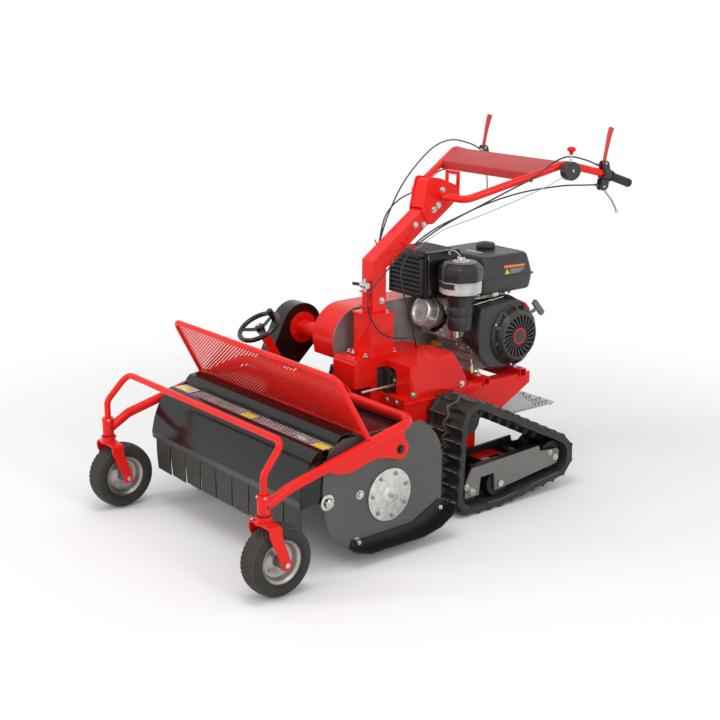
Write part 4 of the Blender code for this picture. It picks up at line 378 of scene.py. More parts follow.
def rim(side, sign):
    form = bmesh.new()
    face = [(0.0068, 0.05), (0.0165, 0.05), (0.018, 0.047), (0.018, 0.014), (0.02, 0.0105), (0.029, 0.0085),
            (0.032, 0.006), (0.048, 0.0045), (0.0545, 0.0065), (0.058, 0.0125), (0.0605, 0.023),
            (0.0625, 0.0262),
            (0.065, 0.0272), (0.0672, 0.0308), (0.069, 0.0318), (0.0705, 0.0305), (0.0702, 0.0268),
            (0.0665, 0.024), (0.06, 0.018)]
    profile = face + [(radius, -height) for radius, height in face[::-1]]
    turn_about(form, profile, (sign * CASTOR_X, WHEEL_Y, TYRE_RADIUS), (1, 0, 0), 64)
    for lean in (1, -1):
        for index in range(4):
            angle = math.radians(45 + 90 * index)
            centre = Vector((sign * CASTOR_X + lean * 0.0045, WHEEL_Y + 0.04 * math.cos(angle),
                             TYRE_RADIUS + 0.04 * math.sin(angle)))
            turn_about(form, [(0.0, 0.006), (0.003, 0.006), (0.0046, 0.0045), (0.0046, 0.0), (0.0, 0.0)],
                       centre, (lean, 0, 0), 6)
    made(form, "rim_" + side, "castor_wheel_" + side, rim_silver, "bright_steel", ["castor_rim_" + side])


for side, sign in SIDES:
    tyre(side, sign)
    rim(side, sign)


# Castor forks: one strap of steel folded over the wheel, with a turned collar
# for the swivel on its crown. Powder coated red, with a plated axle bolt.

CROWN_Z = 0.243
STRAP = 0.006
FORK_OUTER = 0.0585


def paint_finish(name, colour, shade, roughness=0.2, specular=0.25):
    """Powder coat: slightly uneven gloss over an orange-peel surface."""
    finish, coating, start = new_finish(name, colour, roughness, specular=specular)
    peel = grain(start, 230.0, 2.0, 0.5)
    flow = grain(start, 7.0, 3.0)
    link(tint(start, ramp(start, flow, 0.3, 0.7), shade, colour), coating, "Base Color")
    link(flow * 0.12 + (roughness - 0.05), coating, "Roughness")
    press(start, coating, peel, 0.00012)
    return finish


red_paint = paint_finish("red_paint", (0.86, 0.015, 0.009), (0.79, 0.012, 0.007))


def hex_bolt(form, place, axis, size, height, washer=True, stud=0.0):
    """Hexagon head, its washer and the end of its thread."""
    place = Vector(place)
    axis = Vector(axis).normalized()
    if washer:
        turn_about(form, [(0.0, 0.0018), (size * 1.45, 0.0018), (size * 1.5, 0.0012), (size * 1.5, 0.0),
                          (0.0, 0.0)],
                   place, axis, 20)
        place = place + axis * 0.0018
    turn_about(form, [(0.0, height), (size * 0.82, height), (size * 0.98, height * 0.86),
                      (size, height * 0.7), (size, 0.0), (0.0, 0.0)], place, axis, 6)
    if stud:
        turn_about(form, [(0.0, stud), (size * 0.4, stud), (size * 0.5, stud - 0.0012), (size * 0.5, 0.0),
                          (0.0, 0.0)], place + axis * height, axis, 14)


def headings(points):
    """Direction of a run at each of its points."""
    points = [Vector(point) for point in points]
    last = len(points) - 1
    return [(points[min(index + 1, last)] - points[max(index - 1, 0)]).normalized()
            for index in range(last + 1)]


def strap_fork(side, sign):
    form = bmesh.new()
    middle = sign * CASTOR_X
    bend = 0.014
    half = FORK_OUTER - STRAP / 2
    top = CROWN_Z - STRAP / 2
    lowest = TYRE_RADIUS - 0.0165
    leg = [(-half, lowest + rise) for rise in (0.0, 0.0007, 0.002, 0.0042, 0.008)]
    leg += [(-half, lowest + 0.008 + (top - bend - lowest - 0.008) * step / 12) for step in range(1, 13)]
    for step in range(1, 8):
        angle = math.pi - math.pi / 2 * step / 8
        leg.append((-half + bend + bend * math.cos(angle), top - bend + bend * math.sin(angle)))
    run = leg + [(-half + bend + (2 * half - 2 * bend) * step / 4, top) for step in range(5)]
    run += [(-x, z) for x, z in leg[::-1]]
    rings = []
    for (x, z), ahead in zip(run, headings(run)):
        out = Vector((-ahead.y, ahead.x)) * STRAP / 2
        share = min(max((z - TYRE_RADIUS) / (CROWN_Z - 0.03 - TYRE_RADIUS), 0), 1)
        centre_y = WHEEL_Y + (SWIVEL_Y + 0.004 - WHEEL_Y) * share
        corner = 1 - min(1.0, (z - lowest) / 0.008)
        width = (0.0172 + 0.0045 * share) * (0.55 + 0.45 * math.sqrt(1 - corner * corner))
        rings.append([(middle + x + out.x * lean, centre_y + across, z + out.y * lean)
                      for lean, across in ((1, -width), (1, width), (-1, width), (-1, -width))])
    skin(form, rings)
    turn_about(form, [(0.0, 0.0225), (0.0262, 0.0225), (0.027, 0.0205), (0.027, 0.017), (0.0225, 0.0155),
                      (0.0225, 0.006), (0.03, 0.0015), (0.03, -0.001), (0.0, -0.001)],
               (middle, SWIVEL_Y, CROWN_Z), (0, 0, 1), 40)
    made(form, "strap_fork_" + side, "castor_swivel_" + side, red_paint, "red_paint", ["castor_fork_" + side],
         edge=0.0012)
    form = bmesh.new()
    for lean in (1, -1):
        hex_bolt(form, (middle + lean * FORK_OUTER, WHEEL_Y, TYRE_RADIUS), (lean, 0, 0), 0.0094, 0.0046,
                 washer=False)
    hex_bolt(form, (middle - FORK_OUTER + 0.004, SWIVEL_Y - 0.004, CROWN_Z - 0.0065), (-1, 0, 0.4), 0.005,
             0.0045, washer=False)
    made(form, "axle_bolt_" + side, "castor_swivel_" + side, zinc_plate, "bright_steel")
    form = bmesh.new()
    turn_about(form, [(0.019, 0.0012), (0.0214, 0.0012), (0.0218, 0.0), (0.0214, -0.0012), (0.019, -0.0012)],
               (middle, SWIVEL_Y, CROWN_Z + 0.0238), (0, 0, 1), 32)
    made(form, "swivel_seal_" + side, "castor_swivel_" + side, tyre_rubber, "rubber")


for side, sign in SIDES:
    strap_fork(side, sign)


# Front frame: one bent tube round the deck with a swivel socket at each
# front end, rounded gussets that hold it on the deck's pivots, and an arched
# plate on its rear run. All welded and powder coated red.

FRAME_TUBE = 0.0165
FRAME_X = 0.478
FRAME_REAR = (-0.265, 0.45)
FRAME_PIVOT = (-0.308, 0.359)
SOCKET_LOW = 0.266
SOCKET_HIGH = 0.332
GUARD_FOOT = (-0.455, 0.437)


def rounded(corners, radius, steps=10):
    """Points along straight runs with a smooth bend at each corner."""
    corners = [Vector(corner) for corner in corners]
    points = [corners[0]]
    for before, corner, after in zip(corners, corners[1:], corners[2:]):
        back = (before - corner).normalized()
        ahead = (after - corner).normalized()
        half = max(back.angle(ahead) / 2, 0.05)
        reach = min(radius / math.tan(half), (before - corner).length * 0.49, (after - corner).length * 0.49)
        start = corner + back * reach
        end = corner + ahead * reach
        for step in range(steps + 1):
            share = step / steps
            points.append(start.lerp(corner, share).lerp(corner.lerp(end, share), share))
    points.append(corners[-1])
    return points


def lay_tube(form, points, radius, sides=20):
    """Round bar or tube along points, capped at both ends."""
    points = [Vector(point) for point in points]
    points = [point for index, point in enumerate(points)
              if not index or (point - points[index - 1]).length > 1e-5]
    ahead = (points[1] - points[0]).normalized()
    side = ahead.orthogonal().normalized()
    rings = []
    for point, new_ahead in zip(points, headings(points)):
        side = ahead.rotation_difference(new_ahead) @ side
        side = (side - new_ahead * side.dot(new_ahead)).normalized()
        ahead = new_ahead
        other = ahead.cross(side)
        rings.append([point + (side * math.cos(angle) + other * math.sin(angle)) * radius
                      for angle in angles(sides)])
    skin(form, rings)


def cut_plate(form, outline, low, high, plane="x"):
    """Flat plate with the outline's shape, from low to high along one axis."""
    def at(first, second, level):
        return {"x": (level, first, second), "y": (first, level, second), "z": (first, second, level)}[plane]
    skin(form, [[at(*point, low) for point in outline], [at(*point, high) for point in outline]])


def curve_points(points, steps=6):
    """Smooth curve through points."""
    points = [Vector(point) for point in points]
    result = []
    for p0, p1, p2, p3 in zip(points[:1] + points, points, points[1:], points[2:] + points[-1:]):
        for step in range(steps):
            t = step / steps
            result.append(0.5 * (2 * p1 + (p2 - p0) * t + (2 * p0 - 5 * p1 + 4 * p2 - p3) * t * t
                                 + (3 * p1 - p0 - 3 * p2 + p3) * t ** 3))
    return result + points[-1:]


def both_sides(half):
    """A run on the left and its mirror image, from left to right."""
    return half + [(-x, y, z) for x, y, z in half[::-1]]


form = bmesh.new()
half_run = [(CASTOR_X, SWIVEL_Y + 0.012, 0.295), (FRAME_X, SWIVEL_Y + 0.085, SOCKET_HIGH),
            (FRAME_X, GUARD_FOOT[0], 0.406), (FRAME_X, *FRAME_REAR)]
lay_tube(form, rounded(both_sides(half_run), 0.055), FRAME_TUBE, 28)
for side, sign in SIDES:
    turn_about(form, [(0.0118, 0.066), (0.019, 0.066), (0.02, 0.064), (0.02, 0.004), (0.019, 0.0022),
                      (0.0155, 0.0022), (0.0155, 0.03), (0.0118, 0.031)],
               (sign * CASTOR_X, SWIVEL_Y, SOCKET_LOW), (0, 0, 1), 40)
made(form, "front_frame_tube", "castor_frame", red_paint, "red_paint", ["castor_frame"])

form = bmesh.new()
for side, sign in SIDES:
    inner = FRAME_X - FRAME_TUBE + 0.001
    eye = [(FRAME_PIVOT[0] + 0.034 * math.cos(math.radians(angle)),
            FRAME_PIVOT[1] + 0.034 * math.sin(math.radians(angle)))
           for angle in range(-120, 61, 9)]
    lower = [point.to_tuple() for point in
             curve_points([(-0.61, 0.352), (-0.565, 0.331), (-0.51, 0.325), (-0.455, 0.338), (-0.395, 0.347),
                           eye[0]], 5)]
    gusset = lower[:-1] + eye + [(-0.29, 0.435), (-0.455, 0.402)]
    low, high = sorted((sign * inner, sign * (inner + 0.006)))
    cut_plate(form, gusset, low, high)
    low, high = sorted((sign * 0.435, sign * (inner + 0.004)))
    turn_about(form, rectangle(0.0, high - low, 0.0088, 0.0),
               (low, *FRAME_PIVOT), (1, 0, 0), 20)
arch = [(0.2 * math.cos(angle) if index in (0, 24) else 0.172 * math.cos(angle),
         FRAME_REAR[1] - 0.004 + 0.059 * math.sin(angle))
        for index, angle in enumerate([math.pi * step / 24 for step in range(25)])]
cut_plate(form, arch, FRAME_REAR[0] - 0.0025, FRAME_REAR[0] + 0.0025, "y")
made(form, "front_frame_gussets", "castor_frame", red_paint, "red_paint", edge=0.001)


# Frame hardware: plated pinch bolts on the sockets and black pivot bolts in
# the gussets' eyes.

form = bmesh.new()
for side, sign in SIDES:
    for way, height in ((Vector((0.92, -0.39, 0)), 0.0615), (Vector((-0.55, -0.83, 0)), 0.06)):
        hex_bolt(form, Vector((sign * CASTOR_X, SWIVEL_Y, SOCKET_LOW + height)) + way * 0.019, way, 0.0044,
                 0.0045, washer=False)
made(form, "socket_bolts", "castor_frame", zinc_plate, "bright_steel")

black_hardware = steel_finish("black_hardware", (0.045, 0.045, 0.048), 0.38, contrast=0.3, metallic=0.6)
form = bmesh.new()
for side, sign in SIDES:
    hex_bolt(form, (sign * (FRAME_X - FRAME_TUBE + 0.007), *FRAME_PIVOT), (sign, 0, 0), 0.0105, 0.0075)
    turn_about(form, [(0.0, 0.0022), (0.0036, 0.002), (0.0046, 0.001), (0.0046, -0.002), (0.0, -0.002)],
               (sign * CASTOR_X + 0.0194, SWIVEL_Y + 0.002, SOCKET_LOW + 0.03), (1, 0, 0), 16)
made(form, "pivot_bolts", "castor_frame", black_hardware, "bright_steel")


# Bumper bar: a thinner tube that stands in the sockets and leans back over
# the hood.

BUMPER_TUBE = 0.011
form = bmesh.new()
half_run = [(CASTOR_X, SWIVEL_Y, 0.3), (CASTOR_X, SWIVEL_Y, 0.392), (0.462, -0.766, 0.478)]
lay_tube(form, rounded(both_sides(half_run), 0.042), BUMPER_TUBE, 24)
made(form, "bumper_tube", "castor_frame", red_paint, "red_paint", ["bumper_bar"])


# Debris guard: a sheet of slanted bars in a bent tube, leaning forward over
# the deck so that thrown grass doesn't reach the engine.

GUARD_TUBE = 0.0095
GUARD_TOP = (-0.565, 0.636)
GUARD_TOP_X = 0.466
BAR_ANGLE = math.radians(33)
BAR_PITCH = 0.0165
BAR_WIDTH = 0.007

foot = Vector((0, *GUARD_FOOT))
top = Vector((0, *GUARD_TOP))
rise = (top - foot).normalized()
guard_height = (top - foot).length
facing = Vector((1, 0, 0)).cross(rise)
form = bmesh.new()
half_run = [(FRAME_X, GUARD_FOOT[0] + 0.004, GUARD_FOOT[1] - 0.012), (FRAME_X - 0.002, *GUARD_FOOT),
            (GUARD_TOP_X, *GUARD_TOP)]
lay_tube(form, rounded(both_sides(half_run), 0.034), GUARD_TUBE, 20)
lay_tube(form, [(-FRAME_X, *GUARD_FOOT), (FRAME_X, *GUARD_FOOT)], GUARD_TUBE * 0.7, 16)
made(form, "guard_tube", "castor_frame", red_paint, "red_paint", ["debris_guard"])

form = bmesh.new()


def guard_point(across, height, depth):
    return foot + Vector((across, 0, 0)) + rise * height + facing * depth


def flat_bar(form, start, end, width, thickness):
    """Flat bar between two points of the guard's plane."""
    start = Vector(start)
    end = Vector(end)
    ahead = (end - start).normalized()
    side = Vector((-ahead.y, ahead.x)) * width / 2
    section = ((1, -thickness), (1, thickness), (-1, thickness), (-1, -thickness))
    skin(form, [[guard_point(*(point + side * lean), depth) for lean, depth in section]
                for point in (start, end)])


BAR_REACH = 0.47
low = 0.01
high = guard_height - 0.006
slope = (high - low) / math.tan(BAR_ANGLE)
start = -BAR_REACH - slope
while start < BAR_REACH:
    first_share = max(0.0, (-BAR_REACH - start) / slope)
    last_share = min(1.0, (BAR_REACH - start) / slope)
    if last_share - first_share > 0.02:
        flat_bar(form, (start + slope * first_share, low + (high - low) * first_share),
                 (start + slope * last_share, low + (high - low) * last_share), BAR_WIDTH, 0.003)
    start += BAR_PITCH
made(form, "guard_bars", "castor_frame", red_paint, "red_paint")


# Deck sides: grey painted steel plates with a black skid shoe along the foot
# and plated bolts.


def cad_finish(nodes, finish):
    """Give machine parts that keep their built shape their finish."""
    for node in nodes:
        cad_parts[node].data.materials.clear()
        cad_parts[node].data.materials.append(finish)


DECK_HALF = 0.445
grey_paint, coating, start = new_finish("grey_paint", (0.095, 0.092, 0.088), 0.34, specular=0.35)
flow = grain(start, 5.0, 4.0)
peel = grain(start, 260.0, 2.0)
across = start.node("SeparateXYZ", {}, {0: start.node("TexCoord", output=3)}, output=0)
shoe = start.sum("ABSOLUTE", across, 0.0) > DECK_HALF + 0.0003
body_tone = tint(start, ramp(start, flow, 0.3, 0.7), (0.082, 0.08, 0.076), (0.102, 0.099, 0.095))
link(start.node("Mix", {"data_type": "RGBA"}, {0: shoe, 6: body_tone, 7: (0.012, 0.012, 0.013, 1)}, output=2),
     coating, "Base Color")
link(flow * 0.12 + 0.28, coating, "Roughness")
press(start, coating, peel, 0.00012)
cad_finish(["deck_side_left", "deck_side_right"], grey_paint)

form = bmesh.new()
for side, sign in SIDES:
    for y, z, size, height, stud in ((-0.455, 0.231, 0.0105, 0.0072, 0.0),
                                     (-0.585, 0.235, 0.0175, 0.0145, 0.003),
                                     (-0.468, 0.076, 0.0095, 0.0135, 0.004),
                                     (-0.12, 0.112, 0.0095, 0.0135, 0.004)):
        hex_bolt(form, (sign * (DECK_HALF - 0.0005), y, z), (sign, 0, 0), size, height, stud=stud)
made(form, "deck_side_bolts", "machine", zinc_plate, "bright_steel")


# Hood: one curved sheet over the front of the rotor, folded in to a stiff lip
# that carries the flaps. Gloss black, with end cheeks.

HOOD_HALF = 0.4387
black_gloss = paint_finish("black_gloss", (0.01, 0.0096, 0.009), (0.0075, 0.0072, 0.0068), 0.15,
                           specular=0.38)
# Painted reflection: the lip's lower band gets a grey finish that stands in for the white floor reflected in
# the gloss black.
lip_painted_reflection = paint_finish("lip_painted_reflection", (0.088, 0.086, 0.082), (0.072, 0.07, 0.067), 0.3)
form = bmesh.new()
hood_curve = curve_points([(-0.6, 0.4085), (-0.618, 0.4025), (-0.64, 0.381), (-0.662, 0.346), (-0.678, 0.306),
                           (-0.6878, 0.262)], 6)
hood_curve += [Vector((-0.6885, 0.259)), Vector((-0.6855, 0.2365))]
rings = []
for point, ahead in zip(hood_curve, headings(hood_curve)):
    out = Vector((ahead.y, -ahead.x)) * 0.0015
    rings.append([(x, *(point + out * lean)) for x, lean in rectangle(HOOD_HALF, 1, -HOOD_HALF, -1)])
skin(form, rings)
for sign in (1, -1):
    cheek = [point.to_tuple() for point in hood_curve] + [(-0.59, 0.2365), (-0.59, 0.3)]
    cut_plate(form, cheek, *sorted((sign * HOOD_HALF, sign * (HOOD_HALF - 0.003))))
cut_plate(form, rectangle(-HOOD_HALF, -0.6855, HOOD_HALF, -0.668), 0.2362, 0.239, "z")
# Faces of the lip's lower band take the grey painted reflection.
for face in form.faces:
    middle = face.calc_center_median()
    face.material_index = int(middle.z < 0.26 and middle.y < -0.68)
made(form, "hood", "machine", [black_gloss, lip_painted_reflection], "black_paint", ["deck_hood"], crease=25)


# Flaps: thick rubber cut into hanging tongues that lap over each other and
# stop stones under the hood.

FLAPS = 9
FLAP_HALF = 0.435
form = bmesh.new()
chance = random.Random(7)
width = 2 * FLAP_HALF / FLAPS
for index in range(FLAPS):
    left = -FLAP_HALF + index * width
    splay = chance.uniform(0.002, 0.005)
    drop = chance.uniform(0.0, 0.0025)
    rings = []
    for step in range(9):
        share = step / 8
        z = 0.2355 - share * (0.117 - drop)
        y = -0.677 + 0.004 * share - 0.003 * math.sin(share * 2.6)
        lean = splay * share
        gap = 0.0014 if share < 0.1 else 0.0022
        rings.append([(left + gap, y + lean, z), (left + width - gap * (0.3 + share), y - lean * 0.6, z),
                      (left + width - gap * (0.3 + share), y - lean * 0.6 + 0.0048, z),
                      (left + gap, y + lean + 0.0048, z)])
    skin(form, rings)
flap_rubber = rubber_finish("flap_rubber", (0.044, 0.042, 0.038), (0.078, 0.073, 0.064), 0.62)
made(form, "flaps", "machine", flap_rubber, "rubber", ["flap_strip"], crease=30)


# Deck top: gloss black sheet with a folded beam at its front. Between beam and
# hood lies a strip of expanded mesh with three plain yellow stickers.

cad_finish(["deck_top"], black_gloss)
mesh_steel = steel_finish("mesh_steel", (0.82, 0.78, 0.77), 0.42, contrast=0.2, metallic=0.55)
form = bmesh.new()
MESH_LOW = -0.5985
MESH_HIGH = -0.544
MESH_LEFT = -0.325
MESH_RIGHT = 0.4335
MESH_PITCH = 0.0168
reach = MESH_HIGH - MESH_LOW
run = reach / 1.3
for lean in (1, -1):
    bar_start = MESH_LEFT - run + MESH_PITCH * 0.4
    while bar_start < MESH_RIGHT:
        shares = (max(0.0, (MESH_LEFT - bar_start) / run), min(1.0, (MESH_RIGHT - bar_start) / run))
        (x0, y0), (x1, y1) = [(bar_start + run * share, MESH_LOW + reach * (share if lean > 0 else 1 - share))
                              for share in shares]
        side = Vector((y0 - y1, x1 - x0)).normalized() * 0.0016
        level = 0.4074 if lean > 0 else 0.4069
        cut_plate(form, [(x0 + side.x, y0 + side.y), (x0 - side.x, y0 - side.y), (x1 - side.x, y1 - side.y),
                         (x1 + side.x, y1 + side.y)], level - 0.0008, level + 0.0008, "z")
        bar_start += MESH_PITCH
made(form, "mesh_strip", "machine", mesh_steel, "zinc_plate")

bright_sheet = steel_finish("bright_sheet", (0.74, 0.75, 0.77), 0.4, cloud=6.0, contrast=0.08, metallic=0.1)
form = bmesh.new()
cut_plate(form, rectangle(-0.4335, MESH_LOW, -0.337, MESH_HIGH), 0.4062, 0.4074, "z")
for x0, x1, slant in ((-0.385, 0.06, 0.016), (0.246, 0.42, -0.016)):
    rings = [[(x, y, z + lift) for x, y, z in ((x0, -0.466, 0.42445), (x1, -0.466, 0.42445),
                                              (x1 + slant, -0.33, 0.42675), (x0 - slant, -0.33, 0.42675))]
             for lift in (0.0002, 0.0009)]
    skin(form, rings)
made(form, "bright_sheets", "machine", bright_sheet, "zinc_plate")

yellow_film, coating, start = new_finish("yellow_film", (0.95, 0.76, 0.06), 0.34, coat=0.3)
wear = ramp(start, grain(start, 90.0), 0.55, 0.75)
link(tint(start, wear * 0.5, (0.95, 0.76, 0.06), (0.84, 0.66, 0.13)), coating, "Base Color")
form = bmesh.new()
for x in (-0.392, 0.01, 0.402):
    cut_plate(form, rectangle(x - 0.03, -0.593, x + 0.03, -0.561), 0.408, 0.4088, "z")
made(form, "stickers", "machine", yellow_film, "black_paint")


# Bearing cover: spun plate over the rotor's left bearing, with seven bolts
# round its edge and a grease nipple in its boss. Rotor and shaft are plated.

ROTOR = (-0.337, 0.206)
form = bmesh.new()
turn_about(form, [(0.0, 0.0125), (0.024, 0.0125), (0.0275, 0.0105), (0.031, 0.0088), (0.0855, 0.0083),
                  (0.0885, 0.0068), (0.089, 0.0), (0.0, 0.0)], (DECK_HALF + 0.0003, *ROTOR), (1, 0, 0), 72)
made(form, "bearing_plate", "machine", zinc_plate, "zinc_plate", ["bearing_cover"])
form = bmesh.new()
for index in range(7):
    angle = math.radians(20 + 360 / 7 * index)
    hex_bolt(form, (DECK_HALF + 0.008, ROTOR[0] + 0.073 * math.cos(angle),
                    ROTOR[1] + 0.073 * math.sin(angle)),
             (1, 0, 0), 0.0056, 0.0052, stud=0.003)
turn_about(form, [(0.0, 0.014), (0.003, 0.0135), (0.0042, 0.01), (0.0042, 0.008), (0.0075, 0.0065),
                  (0.0075, 0.0), (0.0, 0.0)], (DECK_HALF + 0.0125, *ROTOR), (1, 0, 0), 18)
made(form, "bearing_bolts", "machine", rim_silver, "bright_steel")

cad_finish(["rotor", "drive_shaft"], zinc_plate)


# Tracks: moulded rubber belts. Outside, thin curved ridges stand in two
# staggered rows with deep cups between them; inside runs a row of teeth. The
# ridges are worn pale along their crests.

TRACK_NEAR = 0.202
TRACK_FAR = 0.379
TRACK_MIDDLE = (TRACK_NEAR + TRACK_FAR) / 2
TRACK_WHEELS = ((0.112, 0.085, 0.065), (0.25, 0.085, 0.065), (0.525, 0.125, 0.07), (0.125, 0.33, 0.065))
LUG_HEIGHT = 0.02
CARCASS = 0.012
LUG_PITCH = 0.052
TOOTH_HALF = 0.018
TOOTH_HEIGHT = 0.0225
track_rubber = rubber_finish("track_rubber", (0.022, 0.02, 0.018), (0.052, 0.046, 0.039), 0.62)
worn_rubber = rubber_finish("worn_rubber", (0.12, 0.104, 0.084), (0.2, 0.175, 0.145), 0.75)


def belt_run(circles, offset, pitch=0.006):
    """Points and outward directions along a belt round its wheels."""
    points = []
    count = len(circles)
    for index in range(count):
        here = Vector(circles[index][:2])
        there = Vector(circles[(index + 1) % count][:2])
        radius, next_radius = circles[index][2] + offset, circles[(index + 1) % count][2] + offset
        gap = there - here
        lean = math.acos(max(-1, min(1, (radius - next_radius) / gap.length)))
        out = Matrix.Rotation(-lean, 2) @ gap.normalized()
        points.append((here + out * radius, there + out * next_radius, out))
    run = []
    for index in range(count):
        start, end, out = points[index]
        steps = max(1, round((end - start).length / pitch))
        run += [(start.lerp(end, step / steps), out) for step in range(steps)]
        centre = Vector(circles[(index + 1) % count][:2])
        radius = circles[(index + 1) % count][2] + offset
        next_out = points[(index + 1) % count][2]
        turn = out.angle_signed(next_out)
        turn = turn % (2 * math.pi) if turn > 0 else -((-turn) % (2 * math.pi))
        steps = max(1, round(abs(turn) * radius / pitch))
        run += [(centre + (Matrix.Rotation(-turn * step / steps, 2) @ out) * radius,
                 Matrix.Rotation(-turn * step / steps, 2) @ out) for step in range(steps)]
    return run


def along_run(run, count):
    """Evenly spaced places on a closed run, each with its outward direction."""
    lengths = [(run[(index + 1) % len(run)][0] - run[index][0]).length for index in range(len(run))]
    total = sum(lengths)
    places = []
    index = 0
    passed = 0.0
    for step in range(count):
        goal = total * step / count
        while passed + lengths[index] < goal:
            passed += lengths[index]
            index += 1
        share = (goal - passed) / lengths[index]
        here, out = run[index]
        there, next_out = run[(index + 1) % len(run)]
        places.append((here.lerp(there, share), out.lerp(next_out, share).normalized()))
    return places


def tooth(form, place, out, low_x, high_x, base, top, height, sink=0.004):
    """Tapered tooth: base and top are its half lengths along the belt."""
    ahead = Vector((out.y, -out.x))
    rings = []
    for rise, share in ((-sink, 0.0), (height * 0.45, 0.55), (height * 0.86, 0.9), (height, 1.0)):
        half = base + (top - base) * share
        rings.append([(x, *(place + out * rise + ahead * along))
                      for x, along in ((low_x, -half), (high_x, -half), (high_x, half), (low_x, half))])
    skin(form, rings)


def tread_height(along, share):
    """Height of the tread, from 0 to 1, at a place along the belt and a share of its width."""
    phase = (along + (0.5 if share > 0.5 else 0.0)) % 1.0
    ridge = min(1.0, 1.12 * abs(2 * phase - 1) ** 8)
    edge = min(share, 1 - share) * (TRACK_FAR - TRACK_NEAR)
    rim = (0.5 + 0.5 * abs(2 * phase - 1) ** 3) * min(1.0, max(0.0, (0.017 - edge) / 0.008))
    band_at = 0.5 + 0.05 * math.cos(2 * math.pi * along)
    band = 0.8 * min(1.0, max(0.0, (0.07 - abs(share - band_at)) / 0.03))
    return max(ridge, rim, band)


def paint_between(corner, opposite, number):
    """Give the face between two opposite corners its finish."""
    for face in corner.link_faces:
        if opposite in face.verts:
            face.material_index = number


WEAR_RUN = 97
WEAR_GAP = 30
SHARES = (0.0, 0.01, 0.03, 0.05, 0.07, 0.09, 0.14, 0.21, 0.29, 0.35, 0.39, 0.42, 0.45, 0.475, 0.4995)
SHARES += tuple(1 - share for share in SHARES[::-1])
STEPS = 24
outer_run = belt_run(TRACK_WHEELS, 0.0)
run_length = sum((outer_run[index - 1][0] - outer_run[index][0]).length for index in range(len(outer_run)))
LUGS = round(run_length / LUG_PITCH)
chance = random.Random(3)
for side, sign in SIDES:
    form = bmesh.new()
    rings = []
    for step, (place, out) in enumerate(along_run(outer_run, LUGS * STEPS)):
        inner = place - out * CARCASS
        ring = []
        for share in SHARES:
            height = tread_height(step / STEPS, share) * (LUG_HEIGHT - 0.0006)
            if 0.1 < share < 0.9:
                height -= chance.uniform(0.0, 0.0007)
            ring.append((sign * (TRACK_NEAR + 0.0005 + share * (TRACK_FAR - TRACK_NEAR - 0.001)),
                         *(place + out * max(height, 0.0))))
        ring += [(sign * TRACK_FAR, *(place - out * 0.001)), (sign * TRACK_FAR, *(inner + out * 0.002)),
                 (sign * (TRACK_FAR - 0.003), *inner), (sign * (TRACK_NEAR + 0.003), *inner),
                 (sign * TRACK_NEAR, *(inner + out * 0.002)), (sign * TRACK_NEAR, *(place - out * 0.001))]
        rings.append(ring)
    laid = skin(form, rings, closed_run=True)
    form.verts.ensure_lookup_table()
    for step in range(len(laid)):
        for column in range(3, len(SHARES) - 4):
            heights = [tread_height((step + ahead) / STEPS, SHARES[column + over]) for ahead in (0, 1)
                       for over in (0, 1)]
            if sum(heights) / 4 > 0.7 and chance.random() < 0.8:
                corner = laid[step][column]
                after = laid[(step + 1) % len(laid)][column + 1]
                paint_between(corner, after, 1)
        corner = laid[step][len(SHARES) + 1]
        after = laid[(step + 1) % len(laid)][len(SHARES) + 2]
        paint_between(corner, after, int(step % WEAR_RUN > WEAR_GAP))
    for place, out in along_run(belt_run(TRACK_WHEELS, -CARCASS), LUGS):
        tooth(form, place, -out, sign * (TRACK_MIDDLE - TOOTH_HALF), sign * (TRACK_MIDDLE + TOOTH_HALF),
              0.019, 0.004, TOOTH_HEIGHT)
    made(form, "rubber_track_" + side, "machine", [track_rubber, worn_rubber], "rubber",
         ["track_belt_" + side], crease=42)


# Painted machine parts that keep their built shape get their edges rounded:
# sheet steel is folded with a small radius, castings have a larger one.


def softened(node, name, body, finish, edge, crease=35, shade=32, zones=(), without=None):
    """Machine part with its flat faces joined up, edges rounded, some zones in another finish."""
    form = bmesh.new()
    form.from_mesh(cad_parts[node].data)
    bmesh.ops.remove_doubles(form, verts=form.verts, dist=0.00002)
    if without:
        bmesh.ops.delete(form, geom=[point for point in form.verts if without(point.co)], context="VERTS")
    bmesh.ops.dissolve_limit(form, angle_limit=math.radians(2.0), verts=form.verts, edges=form.edges)
    piece = shaped(form, name, [finish] + [zone_finish for zone_finish, inside in zones])
    for number, (zone_finish, inside) in enumerate(zones, 1):
        for face in piece.data.polygons:
            if inside(face.center):
                face.material_index = number
    round_edges(piece, edge, crease, "MITER_ARC")
    fitted(piece, body, [node], shade)


satin_black = paint_finish("satin_black", (0.016, 0.0155, 0.0145), (0.012, 0.0115, 0.011), 0.34,
                           specular=0.28)
satin_grey = paint_finish("satin_grey", (0.19, 0.182, 0.172), (0.165, 0.158, 0.15), 0.36)
for side, sign in SIDES:
    # Outer plate grey; the rest stays satin black, partly real paint and partly painted shade for the dark
    # top face.
    softened("track_frame_" + side, "track_plates_" + side, "machine", satin_black, 0.0014,
             zones=((satin_grey, lambda place: 0.3537 < abs(place.x) < 0.3606),
                    (red_paint, lambda place: abs(place.x) < 0.207),
                    (zinc_plate, lambda place: abs(place.x) > 0.3606)))
    for wheel in ("sprocket", "front_idler", "rear_idler"):
        softened(wheel + "_" + side, wheel + "_rim_" + side, wheel + "_" + side, satin_black,
                 0.002)

form = bmesh.new()
for side, sign in SIDES:
    for y, z in ((0.112, 0.085), (0.525, 0.125)):
        hex_bolt(form, (sign * 0.3603, y, z), (sign, 0, 0), 0.0092, 0.011, stud=0.005)
        hex_bolt(form, (sign * 0.3603, y - 0.0215, z + 0.019), (sign, 0, 0), 0.0078, 0.006, stud=0.002)
made(form, "track_bolts", "machine", zinc_plate, "bright_steel")

